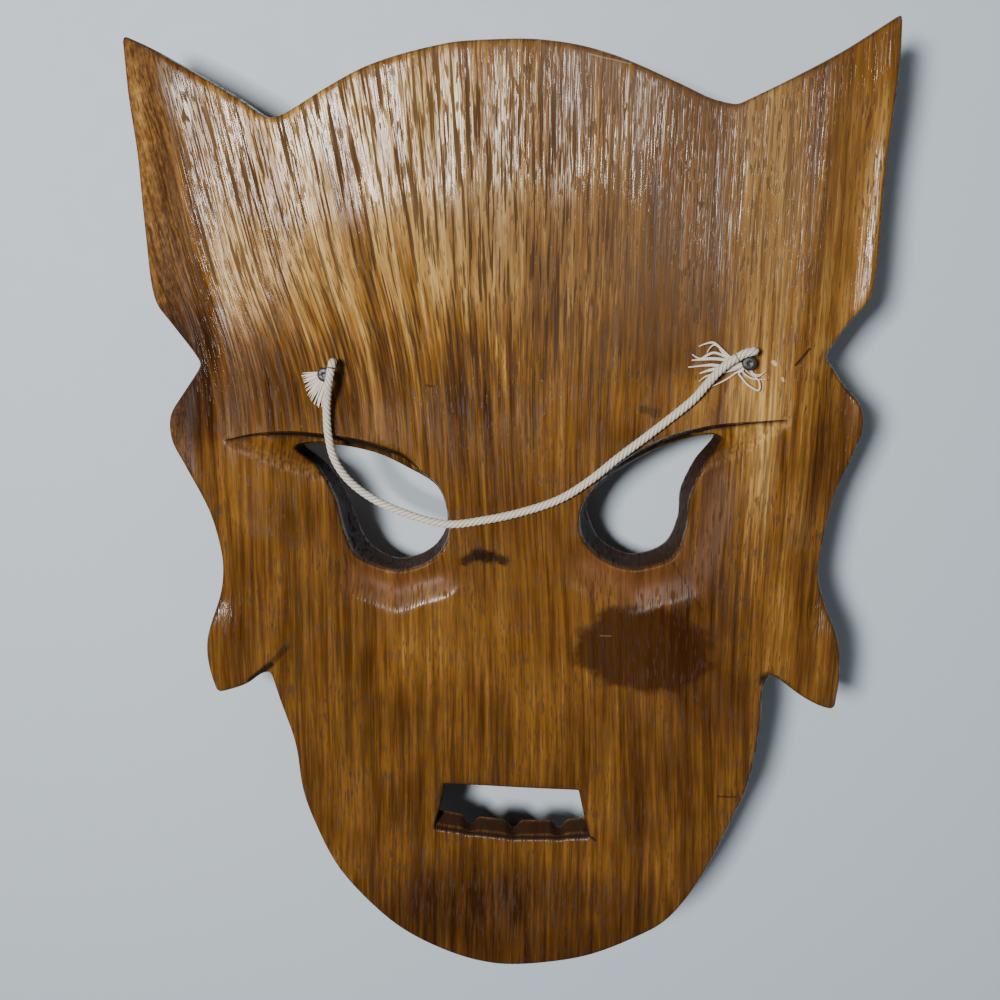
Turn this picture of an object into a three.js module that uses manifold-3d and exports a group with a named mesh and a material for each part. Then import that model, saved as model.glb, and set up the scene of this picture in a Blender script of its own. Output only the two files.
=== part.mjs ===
// Carved wooden demon mask, lying face down, with its nails and hanging cord.
// Millimetres. +X is right and +Y is the crown when the back is looked at, and +Z points out of the back.
// The origin is the middle of the mask's outline, on the surface that the carved front rests on.

import * as THREE from 'three';
import { mergeVertices } from 'three/addons/utils/BufferGeometryUtils.js';
import Module from 'manifold-3d';

// Board and wall sizes
const MASK_WIDTH = 222.4;
const MASK_HEIGHT = 305;
const BOARD = 36;
const RIM_WOOD = 10;
const EYE_WOOD = 14;
const TEETH_WOOD = 7;
const THINNEST_WOOD = 5.5;
const HOLLOW_DEPTH = 6;
const SIDE_SLOPE = 40;
const BROW_SLOPE = 66;
const JAW_SLOPE = 32;
const EAR_CHANNEL_DEPTH = 3;
const EYE_SCOOP_DEPTH = 3;
const CHEEK_SCOOP_DEPTH = 3;

// Front carving, as heights above the wood around it
const BROW_HEIGHT = 18;
const NOSE_HEIGHT = 17;
const NOSTRIL_HEIGHT = 10;
const CHEEK_HEIGHT = 9;
const FOREHEAD_HEIGHT = 20;
const CHIN_HEIGHT = 24;
const LIP_HEIGHT = 11;
const HORN_HEIGHT = 11;
const EAR_RIM_HEIGHT = 4;
const CHEEK_FOLD_DEPTH = 4;

// Nails and cord
const NAIL_HEAD_DIAMETER = 4.4;
const NAIL_HEAD_THICKNESS = 1.1;
const NAIL_SHANK_DIAMETER = 1.8;
const NAIL_LENGTH = 11;
const CORD_DIAMETER = 2.6;
const STRAND_DIAMETER = 1.2;
const CLEARANCE = 0.3;
const FACET_ALLOWANCE = 0.3;

// Mesh steps. The carved grid starts past the left and lower edges, and each band of it ends at a share of the half
// width or half height.
const GRID_START = { column: -1.05, row: -1.03 };
const COLUMN_BANDS = [{ end: -0.55, step: 7.8 }, { end: 0.55, step: 5.6 }, { end: 1.05, step: 7.8 }];
const ROW_BANDS = [{ end: -0.79, step: 6.2 }, { end: -0.44, step: 4.8 }, { end: 0.05, step: 7.6 },
  { end: 0.39, step: 5.2 }, { end: 1.03, step: 8.4 }];
const OUTLINE_STEP = 5;
const HOLE_STEP = 3.2;
const OVERCUT = 2;

// The carving is drawn on a board of this size and keeps its proportions on another board.
const DRAWN_WIDTH = 222.4;
const DRAWN_HEIGHT = 305;
const across = MASK_WIDTH / DRAWN_WIDTH;
const along = MASK_HEIGHT / DRAWN_HEIGHT;

const wasm = await Module();
wasm.setup();

const group = new THREE.Group();

const wood = new THREE.MeshStandardMaterial({ color: 0x8a5a2b, roughness: 0.42, metalness: 0 });
const steel = new THREE.MeshStandardMaterial({ color: 0x3a3a3c, roughness: 0.45, metalness: 0.9 });
const cotton = new THREE.MeshStandardMaterial({ color: 0xe6dfd0, roughness: 0.95, metalness: 0 });

// Outline of the back, from corner to corner. The last point of a stretch starts the next one.
const OUTLINE = {
  leftHornTop: [[-110.8, 151.6], [-100.3, 146.5], [-78.3, 134], [-70.6, 128.8]],
  crown: [[-68, 127.7], [-63.7, 129.3], [-51, 136.2], [-38.5, 142], [-17.5, 147.2], [-9, 148], [12.9, 147.7],
    [30.7, 143.8], [50.2, 135.5], [59.8, 131.1]],
  rightHornTop: [[66.9, 129.3], [79.4, 135], [94.5, 142.5], [102.1, 147]],
  rightHornSide: [[110.9, 152.5], [111.2, 140.9], [109.9, 110.4], [108.9, 80.6], [107.6, 74], [103.9, 69.5]],
  rightEar: [[96, 57.8], [98.9, 54], [102.4, 48.9], [106.9, 43.8], [108.4, 37], [106.1, 28], [101.3, 14.9],
    [98.3, -3.5], [98.1, -10.9], [100.1, -19], [104.6, -30.5], [106, -42]],
  rightLobe: [[105, -54.5], [100.9, -53.6], [94.1, -50], [88.6, -45.7]],
  jaw: [[84.2, -42.6], [82.1, -48.9], [82.2, -58], [78.6, -83], [75.1, -92.2], [64.8, -116.6], [53.7, -133],
    [43.7, -140], [26.1, -148.3], [3.3, -152.5], [-7.5, -152.2], [-20, -148.8], [-40, -137.9], [-57.2, -119.2],
    [-66.3, -99.7], [-69.6, -88.3], [-71.4, -71.4], [-75.6, -55.7]],
  leftLobe: [[-78.2, -45.4], [-81.5, -46.6], [-86, -50], [-91.3, -52.1]],
  leftEar: [[-96.7, -53.7], [-98.9, -44.5], [-99, -35.4], [-94.1, -19.4], [-92.9, -8], [-95.6, 6.8],
    [-102.5, 23], [-106.3, 32], [-106, 39.7], [-102.7, 45]],
  leftHornSide: [[-94.9, 55.6], [-104.3, 69.1], [-107.7, 74.6], [-109.5, 96.3], [-110.2, 125]],
};

// Eye holes: the rim on the back and the narrower opening at the front, point for point.
const LEFT_EYE = {
  back: [[-67.5, 29], [-60, 22.3], [-55, 13], [-52.2, 0.5], [-47.9, -8.8], [-36, -12.7], [-25, -9.2], [-19, -1.2],
    [-18.7, 7.4], [-22.2, 17.2], [-32.5, 23.5], [-45, 28.4]],
  front: [[-66.8, 27.6], [-59.4, 20], [-54, 10.6], [-50.6, 1], [-46.6, -6.6], [-37, -11.3], [-26.2, -7.6], [-21.2, -0.6],
    [-20.9, 6], [-24, 13.6], [-33.2, 19.6], [-45.2, 25]],
};
const RIGHT_EYE = {
  back: [[66.8, 32.8], [53, 31.6], [40.3, 26], [29, 18], [23.6, 9.4], [23.4, 1.4], [28.6, -7.4], [38.4, -11.4],
    [52.4, -6.8], [56.5, 3], [57.4, 13.6], [61.5, 24.2]],
  front: [[65.2, 31.6], [53.6, 28.8], [41.4, 23], [30.8, 15.4], [25.5, 8.4], [26.6, 2.4], [30, -3.8], [40, -8.7],
    [50.8, -5], [55, 4], [55.6, 13], [59.6, 22.6]],
};

// Mouth hole: the sides of its opening, its top, its lower lip and the teeth that stand in it.
const MOUTH = {
  left: -24.7, right: 26.4, topLeft: -21.4, topRight: 23.4, top: -89.4, bottom: -106.4, bow: 2.2, tilt: -1.2,
};
const TOOTH_GAPS = [-13.8, 1.1, 16.9];
const TOOTH_GAP_HALF = 3.5;
const TOOTH_HEIGHT = 3;
const HOLE_FLARE = 0.8;
const MOUTH_LOWER_STEPS = 18;
const MOUTH_UPPER_STEPS = 6;

// Nail places on the back
const LEFT_NAIL = [-55.5, 52.6];
const RIGHT_NAIL = [72.9, 56.5];

// The cord's middle line from nail to nail: x, y and how far it is raised above, or sags below, lying on the back.
// At both ends it is raised over the nail head's edge and its own strands.
const CORD_ROUTE = [
  [-52.65, 54.8, 3.9], [-53.1, 52.9, 3.8], [-53.8, 50, 3.5], [-54.5, 46.8, 2.2], [-55.2, 43.5, 0.9],
  [-55.6, 39.5, 0.1], [-55.5, 34.1, 0], [-54.2, 26.1, -0.5], [-50.6, 19.3, -1.1], [-44, 13.2, -1.4],
  [-33.9, 8.3, -0.9], [-19.2, 4.6, 0], [-7, 6, 0], [5.1, 8.8, 0], [17, 13.1, 0], [26.1, 19, 0], [35, 26.4, 0],
  [44.6, 34, 0], [54.6, 42.6, 0.2], [57.8, 45.8, 0.4], [61, 50.1, 1], [64.2, 54.2, 1.9], [67.2, 57.1, 2.7],
  [69, 58.35, 3.1],
];

// Past each end the cord folds down and back under itself to its nail, and its strands fan out from there.
const LEFT_FOLD = [[-52.55, 55.4, 3.95], [-52.4, 56.1, 3.6], [-52.3, 56.6, 2.6], [-52.4, 56.6, 1.4],
  [-52.8, 56.1, 0.5], [-53.2, 55.5, 0.1]];
const LEFT_STRANDS = [
  [[-55.9, 52.4, -0.25], [-58.6, 52.5, -0.2], [-62.3, 52.7, 0.1]],
  [[-55.9, 52.4, -0.25], [-58.6, 50.9, -0.2], [-62, 49.2, 0.1]],
  [[-55.9, 52.4, -0.25], [-57.8, 49.6, -0.1], [-60.7, 45.8, 0.1]],
  [[-55.9, 52.4, -0.25], [-57, 48.6, -0.1], [-58.6, 42.8, 0]],
];
const RIGHT_FOLD = [[69.35, 58.6, 3.1], [71, 59.5, 3.2], [72.6, 60, 3.1], [73.9, 60.2, 2.6], [74.5, 60.1, 1.6],
  [74.45, 59.8, 0.7], [74.15, 59.4, 0.1]];
const RIGHT_STRANDS = [
  [[72.5, 56.2, 0.2], [70.2, 56, 0.1], [67.6, 57.5, 0.1], [65, 60, 0], [62, 61.9, 0], [58.4, 61.3, 0]],
  [[72.5, 56.2, 0.2], [70, 55.6, 0.1], [67, 55.8, 0.1], [63, 56.8, 0], [59, 57.2, 0]],
  [[72.5, 56.2, 0.2], [70, 54.8, 0.1], [66.4, 53.8, 0.1], [62, 54.2, 0], [59.4, 53.2, 0]],
  [[72.5, 56.2, 0.2], [72.8, 53.2, 0.1], [75, 50, 0], [77, 48.9, 0], [77.9, 51.4, 0]],
  [[72.5, 56.2, 0.2], [71, 53.4, 0.1], [71.9, 50.7, 0]],
];
const LEFT_PAD_OFFSET = [0.7, 0.8];
const RIGHT_PAD_OFFSET = [0.3, 0.8];
const PAD_RADIUS = 3.1;
const PAD_THICKNESS = 1.1;

const clamp = (value, low = 0, high = 1) => Math.min(Math.max(value, low), high);
const smooth = (value) => {
  const t = clamp(value);
  return t * t * (3 - 2 * t);
};
const mix = (from, to, share) => from + (to - from) * share;

// Distance from an ellipse's middle: 0 there, and 1 on its edge
const fromMiddle = (x, y, ellipse) => Math.hypot((x - ellipse.x) / ellipse.halfX, (y - ellipse.y) / ellipse.halfY);

// 1 at the middle of an ellipse and 0 at its edge
const mound = (x, y, ellipse) => smooth(1 - fromMiddle(x, y, ellipse));

// Nearest place on a line of points: the share of the way along it and the distance to it
function nearest(x, y, points) {
  let best = { share: 0, distance: Infinity };
  for (let i = 0; i < points.length - 1; i += 1) {
    const [ax, ay] = points[i];
    const [bx, by] = points[i + 1];
    const length = Math.hypot(bx - ax, by - ay);
    const t = clamp(((x - ax) * (bx - ax) + (y - ay) * (by - ay)) / (length * length));
    const distance = Math.hypot(x - mix(ax, bx, t), y - mix(ay, by, t));
    if (distance < best.distance) best = { share: (i + t) / (points.length - 1), distance };
  }
  return best;
}

// A raised ridge along a line, with a round section. Its height is 1 along the line and 0 at the half width.
function ridge(x, y, { line, startHalf, endHalf }) {
  const { share, distance } = nearest(x, y, line);
  return { share, height: smooth(1 - distance / mix(startHalf, endHalf, share)) };
}

// The hollowed face: straight sides, an arched top under the flat forehead and an oval jaw
const FACE_HALF = 80;
const HOLLOW_TOP = 112;
const HOLLOW_ARCH = 0.004;
const JAW = { x: 0, y: -45, halfX: FACE_HALF, halfY: 107 };
const JAW_BLEND = 40;

// How far inside the hollowed face a place lies: 0 on its edge and 1 past the slope
function insideFace(x, y) {
  const side = FACE_HALF * (1 - fromMiddle(x, Math.min(y, JAW.y), JAW));
  const sideSlope = mix(SIDE_SLOPE, JAW_SLOPE, smooth((JAW.y - y) / JAW_BLEND));
  const top = HOLLOW_TOP - HOLLOW_ARCH * x * x - y;
  return smooth(side / sideSlope) * smooth(top / BROW_SLOPE);
}

// Carving of the back: a channel down each horn and ear, a scoop under each eye and a hollow in the right cheek
const LEFT_CHANNEL = {
  line: [[-106, 138], [-105, 100], [-99, 62], [-101, 34], [-91, -2], [-93, -34]], startHalf: 15, endHalf: 10,
};
const RIGHT_CHANNEL = {
  line: [[106, 138], [105, 100], [100, 60], [102, 30], [96, -2], [99, -36]], startHalf: 14, endHalf: 11,
};
const CHANNEL_RUN_OUT = 0.12;
const LEFT_SCOOP = { line: [[-50, -13], [-36, -18.5], [-22, -14]], startHalf: 9, endHalf: 8 };
const RIGHT_SCOOP = { line: [[25, -9], [41, -17.5], [57, -12], [63, 2], [68, 20]], startHalf: 10, endHalf: 9 };
const CHEEK_SCOOP = { x: 47, y: -44, halfX: 34, halfY: 34 };

// Depth of the back's carving below the board's face. x and y are on the drawn board.
function backDepth(x, y) {
  const inside = insideFace(x, y);
  const channel = ridge(x, y, x > 0 ? RIGHT_CHANNEL : LEFT_CHANNEL);
  const runOut = smooth(channel.share / CHANNEL_RUN_OUT) * smooth((1 - channel.share) / CHANNEL_RUN_OUT);
  const scoop = ridge(x, y, x > 0 ? RIGHT_SCOOP : LEFT_SCOOP);
  return HOLLOW_DEPTH * inside
    + EAR_CHANNEL_DEPTH * channel.height * runOut
    + EYE_SCOOP_DEPTH * scoop.height * inside
    + CHEEK_SCOOP_DEPTH * mound(x, y, CHEEK_SCOOP) * inside;
}

// Carving of the front, the same on both sides: mounds and ridges on an oval face
const FACE = { x: 0, y: -2, halfX: 88, halfY: 152 };
const FACE_SLOPE = 0.55;
const FOREHEAD = { x: 0, y: 88, halfX: 52, halfY: 42 };
const CHEEK = { x: 52, y: -38, halfX: 28, halfY: 26 };
const CHIN = { x: 0, y: -130, halfX: 30, halfY: 19 };
const NOSTRIL = { x: 17, y: -50, halfX: 13, halfY: 12 };
const BROW = { line: [[8, 12], [26, 36], [54, 49], [92, 51]], startHalf: 13, endHalf: 8 };
const BROW_END = 0.5;
const NOSE = { line: [[0, 24], [0, -12], [0, -50]], startHalf: 10, endHalf: 17 };
const NOSE_ROOT = 0.35;
const NOSE_TIP = 1.1;
const CHEEK_FOLD = { line: [[24, -54], [43, -74], [44, -104]], startHalf: 6, endHalf: 5 };
const HORN = { line: [[84, 84], [94, 112], [109, 149]], startHalf: 20, endHalf: 5 };
const HORN_END = 0.3;
const EAR_RIM = { line: [[99, 52], [104, 34], [95, 0], [101, -44]], startHalf: 7, endHalf: 6 };
const EAR_SLOPE = 0.6;
const LIPS = { x: 1, y: -97, halfX: 40, halfY: 20 };
const LIP_CREST = 1.12;
const LIP_SPREAD = 0.42;
const LIP_SLOPE = 0.3;

// Depth of the front's carving below the board's back face, so that a high place has a large depth.
function frontDepth(x, y) {
  const mirrored = Math.abs(x);
  const face = smooth((1 - fromMiddle(x, y, FACE) ** 2) / FACE_SLOPE);
  let depth = mix(RIM_WOOD, HOLLOW_DEPTH + EYE_WOOD, face);
  depth += FOREHEAD_HEIGHT * mound(x, y, FOREHEAD);
  depth += CHEEK_HEIGHT * mound(mirrored, y, CHEEK);
  depth += CHIN_HEIGHT * mound(x, y, CHIN);
  depth += NOSTRIL_HEIGHT * mound(mirrored, y, NOSTRIL);

  const brow = ridge(mirrored, y, BROW);
  depth += BROW_HEIGHT * mix(1, BROW_END, brow.share) * brow.height;
  const nose = ridge(x, y, NOSE);
  depth += NOSE_HEIGHT * mix(NOSE_ROOT, NOSE_TIP, nose.share) * nose.height;
  const fold = ridge(mirrored, y, CHEEK_FOLD);
  depth -= CHEEK_FOLD_DEPTH * fold.height * Math.sin(Math.PI * fold.share);

  const mouth = fromMiddle(x, y, LIPS);
  depth = mix(depth, HOLLOW_DEPTH + TEETH_WOOD, smooth((1 - mouth) / LIP_SLOPE));
  depth += LIP_HEIGHT * smooth(1 - Math.abs(mouth - LIP_CREST) / LIP_SPREAD);

  const horn = ridge(mirrored, y, HORN);
  depth += HORN_HEIGHT * mix(1, HORN_END, horn.share) * horn.height;
  const ear = ridge(mirrored, y, EAR_RIM);
  depth += EAR_RIM_HEIGHT * ear.height * smooth((1 - face) / EAR_SLOPE);
  return depth;
}

const backHeight = (x, y) => BOARD - backDepth(x, y);
const frontHeight = (x, y) => clamp(BOARD - frontDepth(x, y), 0, backHeight(x, y) - THINNEST_WOOD);

// Points along a smooth line through a stretch's points, about one step apart, without the last point
function stretchPoints(points, step) {
  const curve = new THREE.CatmullRomCurve3(points.map(([x, y]) => new THREE.Vector3(x * across, y * along, 0)));
  const count = Math.max(1, Math.round(curve.getLength() / step));
  return curve.getSpacedPoints(count).slice(0, -1).map((p) => new THREE.Vector2(p.x, p.y));
}

function outlinePoints() {
  const stretches = Object.values(OUTLINE);
  return stretches.flatMap((points, i) => {
    const next = stretches[(i + 1) % stretches.length];
    return stretchPoints([...points, next[0]], OUTLINE_STEP);
  });
}

// Evenly spread points around a closed smooth line
function ringPoints(points, count) {
  const curve = new THREE.CatmullRomCurve3(points.map(([x, y]) => new THREE.Vector3(x * across, y * along, 0)), true);
  return Array.from({ length: count }, (_, i) => {
    const p = curve.getPoint(i / count);
    return [p.x, p.y];
  });
}

// A closed geometry from vertex and triangle lists
function geometryOf(vertices, triangles) {
  const geometry = new THREE.BufferGeometry();
  geometry.setAttribute('position', new THREE.BufferAttribute(new Float32Array(vertices.flat()), 3));
  geometry.setIndex(triangles.flat());
  return geometry;
}

function toManifold(geometry) {
  const bare = geometry.clone();
  bare.deleteAttribute('normal');
  bare.deleteAttribute('uv');
  const merged = mergeVertices(bare, 1e-4);
  return new wasm.Manifold(new wasm.Mesh({
    numProp: 3,
    vertProperties: new Float32Array(merged.attributes.position.array),
    triVerts: new Uint32Array(merged.index.array),
  }));
}

function toGeometry(manifold) {
  const mesh = manifold.getMesh();
  const geometry = new THREE.BufferGeometry();
  geometry.setAttribute('position', new THREE.BufferAttribute(new Float32Array(mesh.vertProperties), 3));
  geometry.setIndex(new THREE.BufferAttribute(new Uint32Array(mesh.triVerts), 1));
  geometry.computeVertexNormals();
  return geometry;
}

// A solid through rings of the same number of points, each ring going round anticlockwise seen from above
function loft(rings) {
  const count = rings[0].length;
  const vertices = rings.flat();
  const triangles = [];
  for (let r = 0; r < rings.length - 1; r += 1) {
    for (let i = 0; i < count; i += 1) {
      const j = (i + 1) % count;
      const a = r * count + i;
      const b = r * count + j;
      triangles.push([a, b, b + count], [a, b + count, a + count]);
    }
  }
  const flat = (ring) => ring.map(([x, y]) => new THREE.Vector2(x, y));
  const bottom = THREE.ShapeUtils.triangulateShape(flat(rings[0]), []);
  const top = THREE.ShapeUtils.triangulateShape(flat(rings[rings.length - 1]), []);
  const last = (rings.length - 1) * count;
  bottom.forEach(([a, b, c]) => triangles.push([a, c, b]));
  top.forEach(([a, b, c]) => triangles.push([last + a, last + b, last + c]));
  return geometryOf(vertices, triangles);
}

// Grid lines from the grid's start through each band to its end
function gridLines(gridStart, bands, half) {
  const lines = [gridStart * half];
  for (const { end, step } of bands) {
    const start = lines[lines.length - 1];
    const count = Math.max(1, Math.round((end * half - start) / step));
    for (let i = 1; i <= count; i += 1) lines.push(mix(start, end * half, i / count));
  }
  return lines;
}

// The carved slab: a grid of columns between the front's and the back's heights
function slab() {
  const xs = gridLines(GRID_START.column, COLUMN_BANDS, MASK_WIDTH / 2);
  const ys = gridLines(GRID_START.row, ROW_BANDS, MASK_HEIGHT / 2);
  const columns = xs.length - 1;
  const rows = ys.length - 1;
  const vertices = [];
  const triangles = [];
  const top = (i, j) => 2 * (j * (columns + 1) + i);
  const under = (i, j) => top(i, j) + 1;
  for (const y of ys) {
    for (const x of xs) {
      vertices.push([x, y, backHeight(x / across, y / along)], [x, y, frontHeight(x / across, y / along)]);
    }
  }
  const wall = (a, b, c, d) => triangles.push([a, b, c], [a, c, d]);
  for (let j = 0; j < rows; j += 1) {
    for (let i = 0; i < columns; i += 1) {
      const leaning = (i < columns / 2) === (j < rows / 2);
      if (leaning) {
        triangles.push([top(i, j), top(i + 1, j), top(i + 1, j + 1)], [top(i, j), top(i + 1, j + 1), top(i, j + 1)]);
        triangles.push([under(i, j), under(i + 1, j + 1), under(i + 1, j)]);
        triangles.push([under(i, j), under(i, j + 1), under(i + 1, j + 1)]);
      } else {
        triangles.push([top(i, j), top(i + 1, j), top(i, j + 1)], [top(i + 1, j), top(i + 1, j + 1), top(i, j + 1)]);
        triangles.push([under(i, j), under(i, j + 1), under(i + 1, j)]);
        triangles.push([under(i + 1, j), under(i, j + 1), under(i + 1, j + 1)]);
      }
    }
  }
  for (let i = 0; i < columns; i += 1) {
    wall(under(i, 0), under(i + 1, 0), top(i + 1, 0), top(i, 0));
    wall(under(i + 1, rows), under(i, rows), top(i, rows), top(i + 1, rows));
  }
  for (let j = 0; j < rows; j += 1) {
    wall(under(0, j + 1), under(0, j), top(0, j), top(0, j + 1));
    wall(under(columns, j), under(columns, j + 1), top(columns, j + 1), top(columns, j));
  }
  return toManifold(geometryOf(vertices, triangles));
}

// The board's outline as an upright prism, a little taller than the board
function outlinePrism() {
  const shape = new THREE.Shape(outlinePoints());
  const geometry = new THREE.ExtrudeGeometry(shape, { depth: BOARD + 2 * OVERCUT, bevelEnabled: false });
  geometry.translate(0, 0, -OVERCUT);
  return toManifold(geometry);
}

// An eye hole: the narrow opening runs straight to the front, and the wall widens to the rim on the back
function eyeCutter(eye) {
  const length = eye.back.reduce((sum, [x, y], i) => {
    const [nextX, nextY] = eye.back[(i + 1) % eye.back.length];
    return sum + Math.hypot(nextX - x, nextY - y);
  }, 0);
  const count = Math.round(length / HOLE_STEP);
  const rimLevel = BOARD - HOLLOW_DEPTH;
  const ring = (points, level) => ringPoints(points, count).map(([x, y]) => [x, y, level]);
  return toManifold(loft([
    ring(eye.front, -OVERCUT),
    ring(eye.front, rimLevel - EYE_WOOD),
    ring(eye.back, rimLevel),
    ring(eye.back, BOARD + OVERCUT),
  ]));
}

// The mouth hole's ring at one level: a flare moves its edge outwards, half as far at the top, and the teeth stand
// in its lower edge
function mouthRing(flare, teeth, level) {
  const left = MOUTH.left - flare;
  const right = MOUTH.right + flare;
  const lower = Array.from({ length: MOUTH_LOWER_STEPS + 1 }, (_, i) => {
    const share = i / MOUTH_LOWER_STEPS;
    const x = mix(left, right, share);
    const gap = Math.min(...TOOTH_GAPS.map((place) => Math.abs(x - place)));
    const tooth = teeth * TOOTH_HEIGHT * smooth(gap / TOOTH_GAP_HALF);
    const y = MOUTH.bottom + MOUTH.tilt * (share - 0.5) - flare + MOUTH.bow * (2 * share - 1) ** 2 + tooth;
    return [x, y];
  });
  const upper = Array.from({ length: MOUTH_UPPER_STEPS + 1 }, (_, i) => {
    const share = i / MOUTH_UPPER_STEPS;
    const x = mix(MOUTH.topRight + 0.5 * flare, MOUTH.topLeft - 0.5 * flare, share);
    return [x, MOUTH.top + 0.5 * flare + MOUTH.tilt * (0.5 - share)];
  });
  return [...lower, ...upper].map(([x, y]) => [x * across, y * along, level]);
}

function mouthCutter() {
  const rimLevel = BOARD - HOLLOW_DEPTH;
  return toManifold(loft([
    mouthRing(0, 1, -OVERCUT),
    mouthRing(0, 1, rimLevel - TEETH_WOOD),
    mouthRing(HOLE_FLARE, 0, rimLevel + 1),
    mouthRing(HOLE_FLARE, 0, BOARD + OVERCUT),
  ]));
}

// A brow cut at stations from its tip to the eye: its steep wall runs down from the upper line, and a gentle
// slope comes up from its bottom to the lower line
const LEFT_BROW_CUT = [
  { upper: [-88, 32.2], lower: [-88, 31.7], depth: 0.4, run: 0.2 },
  { upper: [-78.4, 34.3], lower: [-77, 26.8], depth: 3.5, run: 1.2 },
  { upper: [-67.1, 34.8], lower: [-66, 22.6], depth: 6.5, run: 2.4 },
  { upper: [-57.5, 33.6], lower: [-57, 19.5], depth: 8, run: 3 },
  { upper: [-46, 31.5], lower: [-46, 18], depth: 7, run: 3 },
  { upper: [-33.4, 27.6], lower: [-35, 14], depth: 4.5, run: 2.6 },
  { upper: [-26.5, 21.6], lower: [-29, 12], depth: 1.5, run: 1 },
];
const RIGHT_BROW_CUT = [
  { upper: [86, 39.4], lower: [86, 38.9], depth: 0.4, run: 0.2 },
  { upper: [76, 38.7], lower: [76, 31.6], depth: 3.5, run: 1.2 },
  { upper: [67, 37.8], lower: [66.5, 26.8], depth: 6.5, run: 2.2 },
  { upper: [58.7, 36], lower: [58, 22], depth: 8, run: 2.8 },
  { upper: [47.6, 32], lower: [48, 18], depth: 6, run: 2.6 },
  { upper: [38, 26.2], lower: [41, 14], depth: 3, run: 1.6 },
  { upper: [31, 20.6], lower: [35, 10], depth: 1.2, run: 0.8 },
];
const CUTTER_LIFT = 3;

function browCutter(cut) {
  const sections = cut.map(({ upper, lower, depth, run }) => {
    const upperTop = backHeight(...upper);
    const lowerTop = backHeight(...lower);
    const reach = 1 + CUTTER_LIFT / depth;
    return [
      [upper[0], upper[1], upperTop + CUTTER_LIFT],
      [upper[0], upper[1] - run, upperTop - depth],
      [mix(upper[0], lower[0], reach), mix(upper[1] - run, lower[1], reach), mix(upperTop - depth, lowerTop, reach)],
    ].map(([x, y, z]) => [x * across, y * along, z]);
  });
  const triangles = [[0, 1, 2]];
  for (let s = 0; s < sections.length - 1; s += 1) {
    for (let i = 0; i < 3; i += 1) {
      const a = 3 * s + i;
      const b = 3 * s + ((i + 1) % 3);
      triangles.push([a, a + 3, b + 3], [a, b + 3, b]);
    }
  }
  const end = 3 * (sections.length - 1);
  triangles.push([end, end + 2, end + 1]);
  const runsLeft = cut[0].upper[0] > cut[1].upper[0];
  return toManifold(geometryOf(sections.flat(), runsLeft ? triangles.map(([a, b, c]) => [a, c, b]) : triangles));
}

// Height of the nail's seat on the wood
const nailSeat = ([x, y]) => backHeight(x, y) + CLEARANCE;

// Nail: a flat round head on a pointed shank. The cord's flattened end fits between the head and the wood.
function nailMesh(name, [x, y]) {
  const head = NAIL_HEAD_DIAMETER / 2;
  const shank = NAIL_SHANK_DIAMETER / 2;
  const under = PAD_THICKNESS + 2 * FACET_ALLOWANCE + CLEARANCE;
  const profile = [
    [0, -NAIL_LENGTH],
    [shank, -NAIL_LENGTH + 2 * shank],
    [shank, under],
    [head, under],
    [head, under + 0.5 * NAIL_HEAD_THICKNESS],
    [0.7 * head, under + NAIL_HEAD_THICKNESS],
    [0, under + NAIL_HEAD_THICKNESS],
  ].map(([radius, height]) => new THREE.Vector2(radius, height));
  const geometry = new THREE.LatheGeometry(profile, 12);
  geometry.rotateX(Math.PI / 2);
  const mesh = new THREE.Mesh(geometry, steel);
  mesh.name = name;
  mesh.position.set(x * across, y * along, nailSeat([x, y]));
  return mesh;
}

// Hole for a nail's shank, from the shank's end up to a level
function nailHole([x, y], topLevel) {
  const radius = NAIL_SHANK_DIAMETER / 2 + CLEARANCE;
  const bottom = nailSeat([x, y]) - NAIL_LENGTH - CLEARANCE;
  const geometry = new THREE.CylinderGeometry(radius, radius, topLevel - bottom, 10);
  geometry.rotateX(Math.PI / 2);
  geometry.translate(x * across, y * along, (topLevel + bottom) / 2);
  return toManifold(geometry);
}

// Points of a route on the back: the third number raises or lowers the middle line
function onBack(route, diameter) {
  return route.map(([x, y, raised]) => {
    const z = backHeight(x, y) + CLEARANCE + FACET_ALLOWANCE + diameter / 2 + raised;
    return new THREE.Vector3(x * across, y * along, z);
  });
}

// A round tube along a smooth line through the points
function tube(points, diameter, sides, step) {
  const curve = new THREE.CatmullRomCurve3(points, false, 'centripetal');
  const shape = new THREE.Shape(Array.from({ length: sides }, (_, i) => {
    const angle = 2 * Math.PI * i / sides;
    return new THREE.Vector2(0.5 * diameter * Math.cos(angle), 0.5 * diameter * Math.sin(angle));
  }));
  const steps = Math.max(3, Math.round(curve.getLength() / step));
  return new THREE.ExtrudeGeometry(shape, { steps, extrudePath: curve, bevelEnabled: false });
}

// A folded and frayed cord end: the fold, the pad that the nail pins, and the strands that fan out from it
function frayedEnd(fold, strands, nail, padOffset) {
  const [x, y] = [nail[0] + padOffset[0], nail[1] + padOffset[1]];
  const padBottom = backHeight(nail[0], nail[1]) + CLEARANCE + 2 * FACET_ALLOWANCE;
  const pad = new THREE.CylinderGeometry(PAD_RADIUS, PAD_RADIUS, PAD_THICKNESS, 12);
  pad.rotateX(Math.PI / 2);
  pad.translate(x * across, y * along, padBottom + PAD_THICKNESS / 2);
  let solid = toManifold(pad).add(toManifold(tube(onBack(fold, CORD_DIAMETER), CORD_DIAMETER, 8, 1.8)));
  for (const strand of strands) {
    solid = solid.add(toManifold(tube(onBack(strand, STRAND_DIAMETER), STRAND_DIAMETER, 5, 3)));
  }
  return solid.subtract(nailHole(nail, BOARD + 2 * CORD_DIAMETER));
}

function addMesh(name, geometry, material) {
  const mesh = new THREE.Mesh(geometry, material);
  mesh.name = name;
  group.add(mesh);
}

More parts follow.
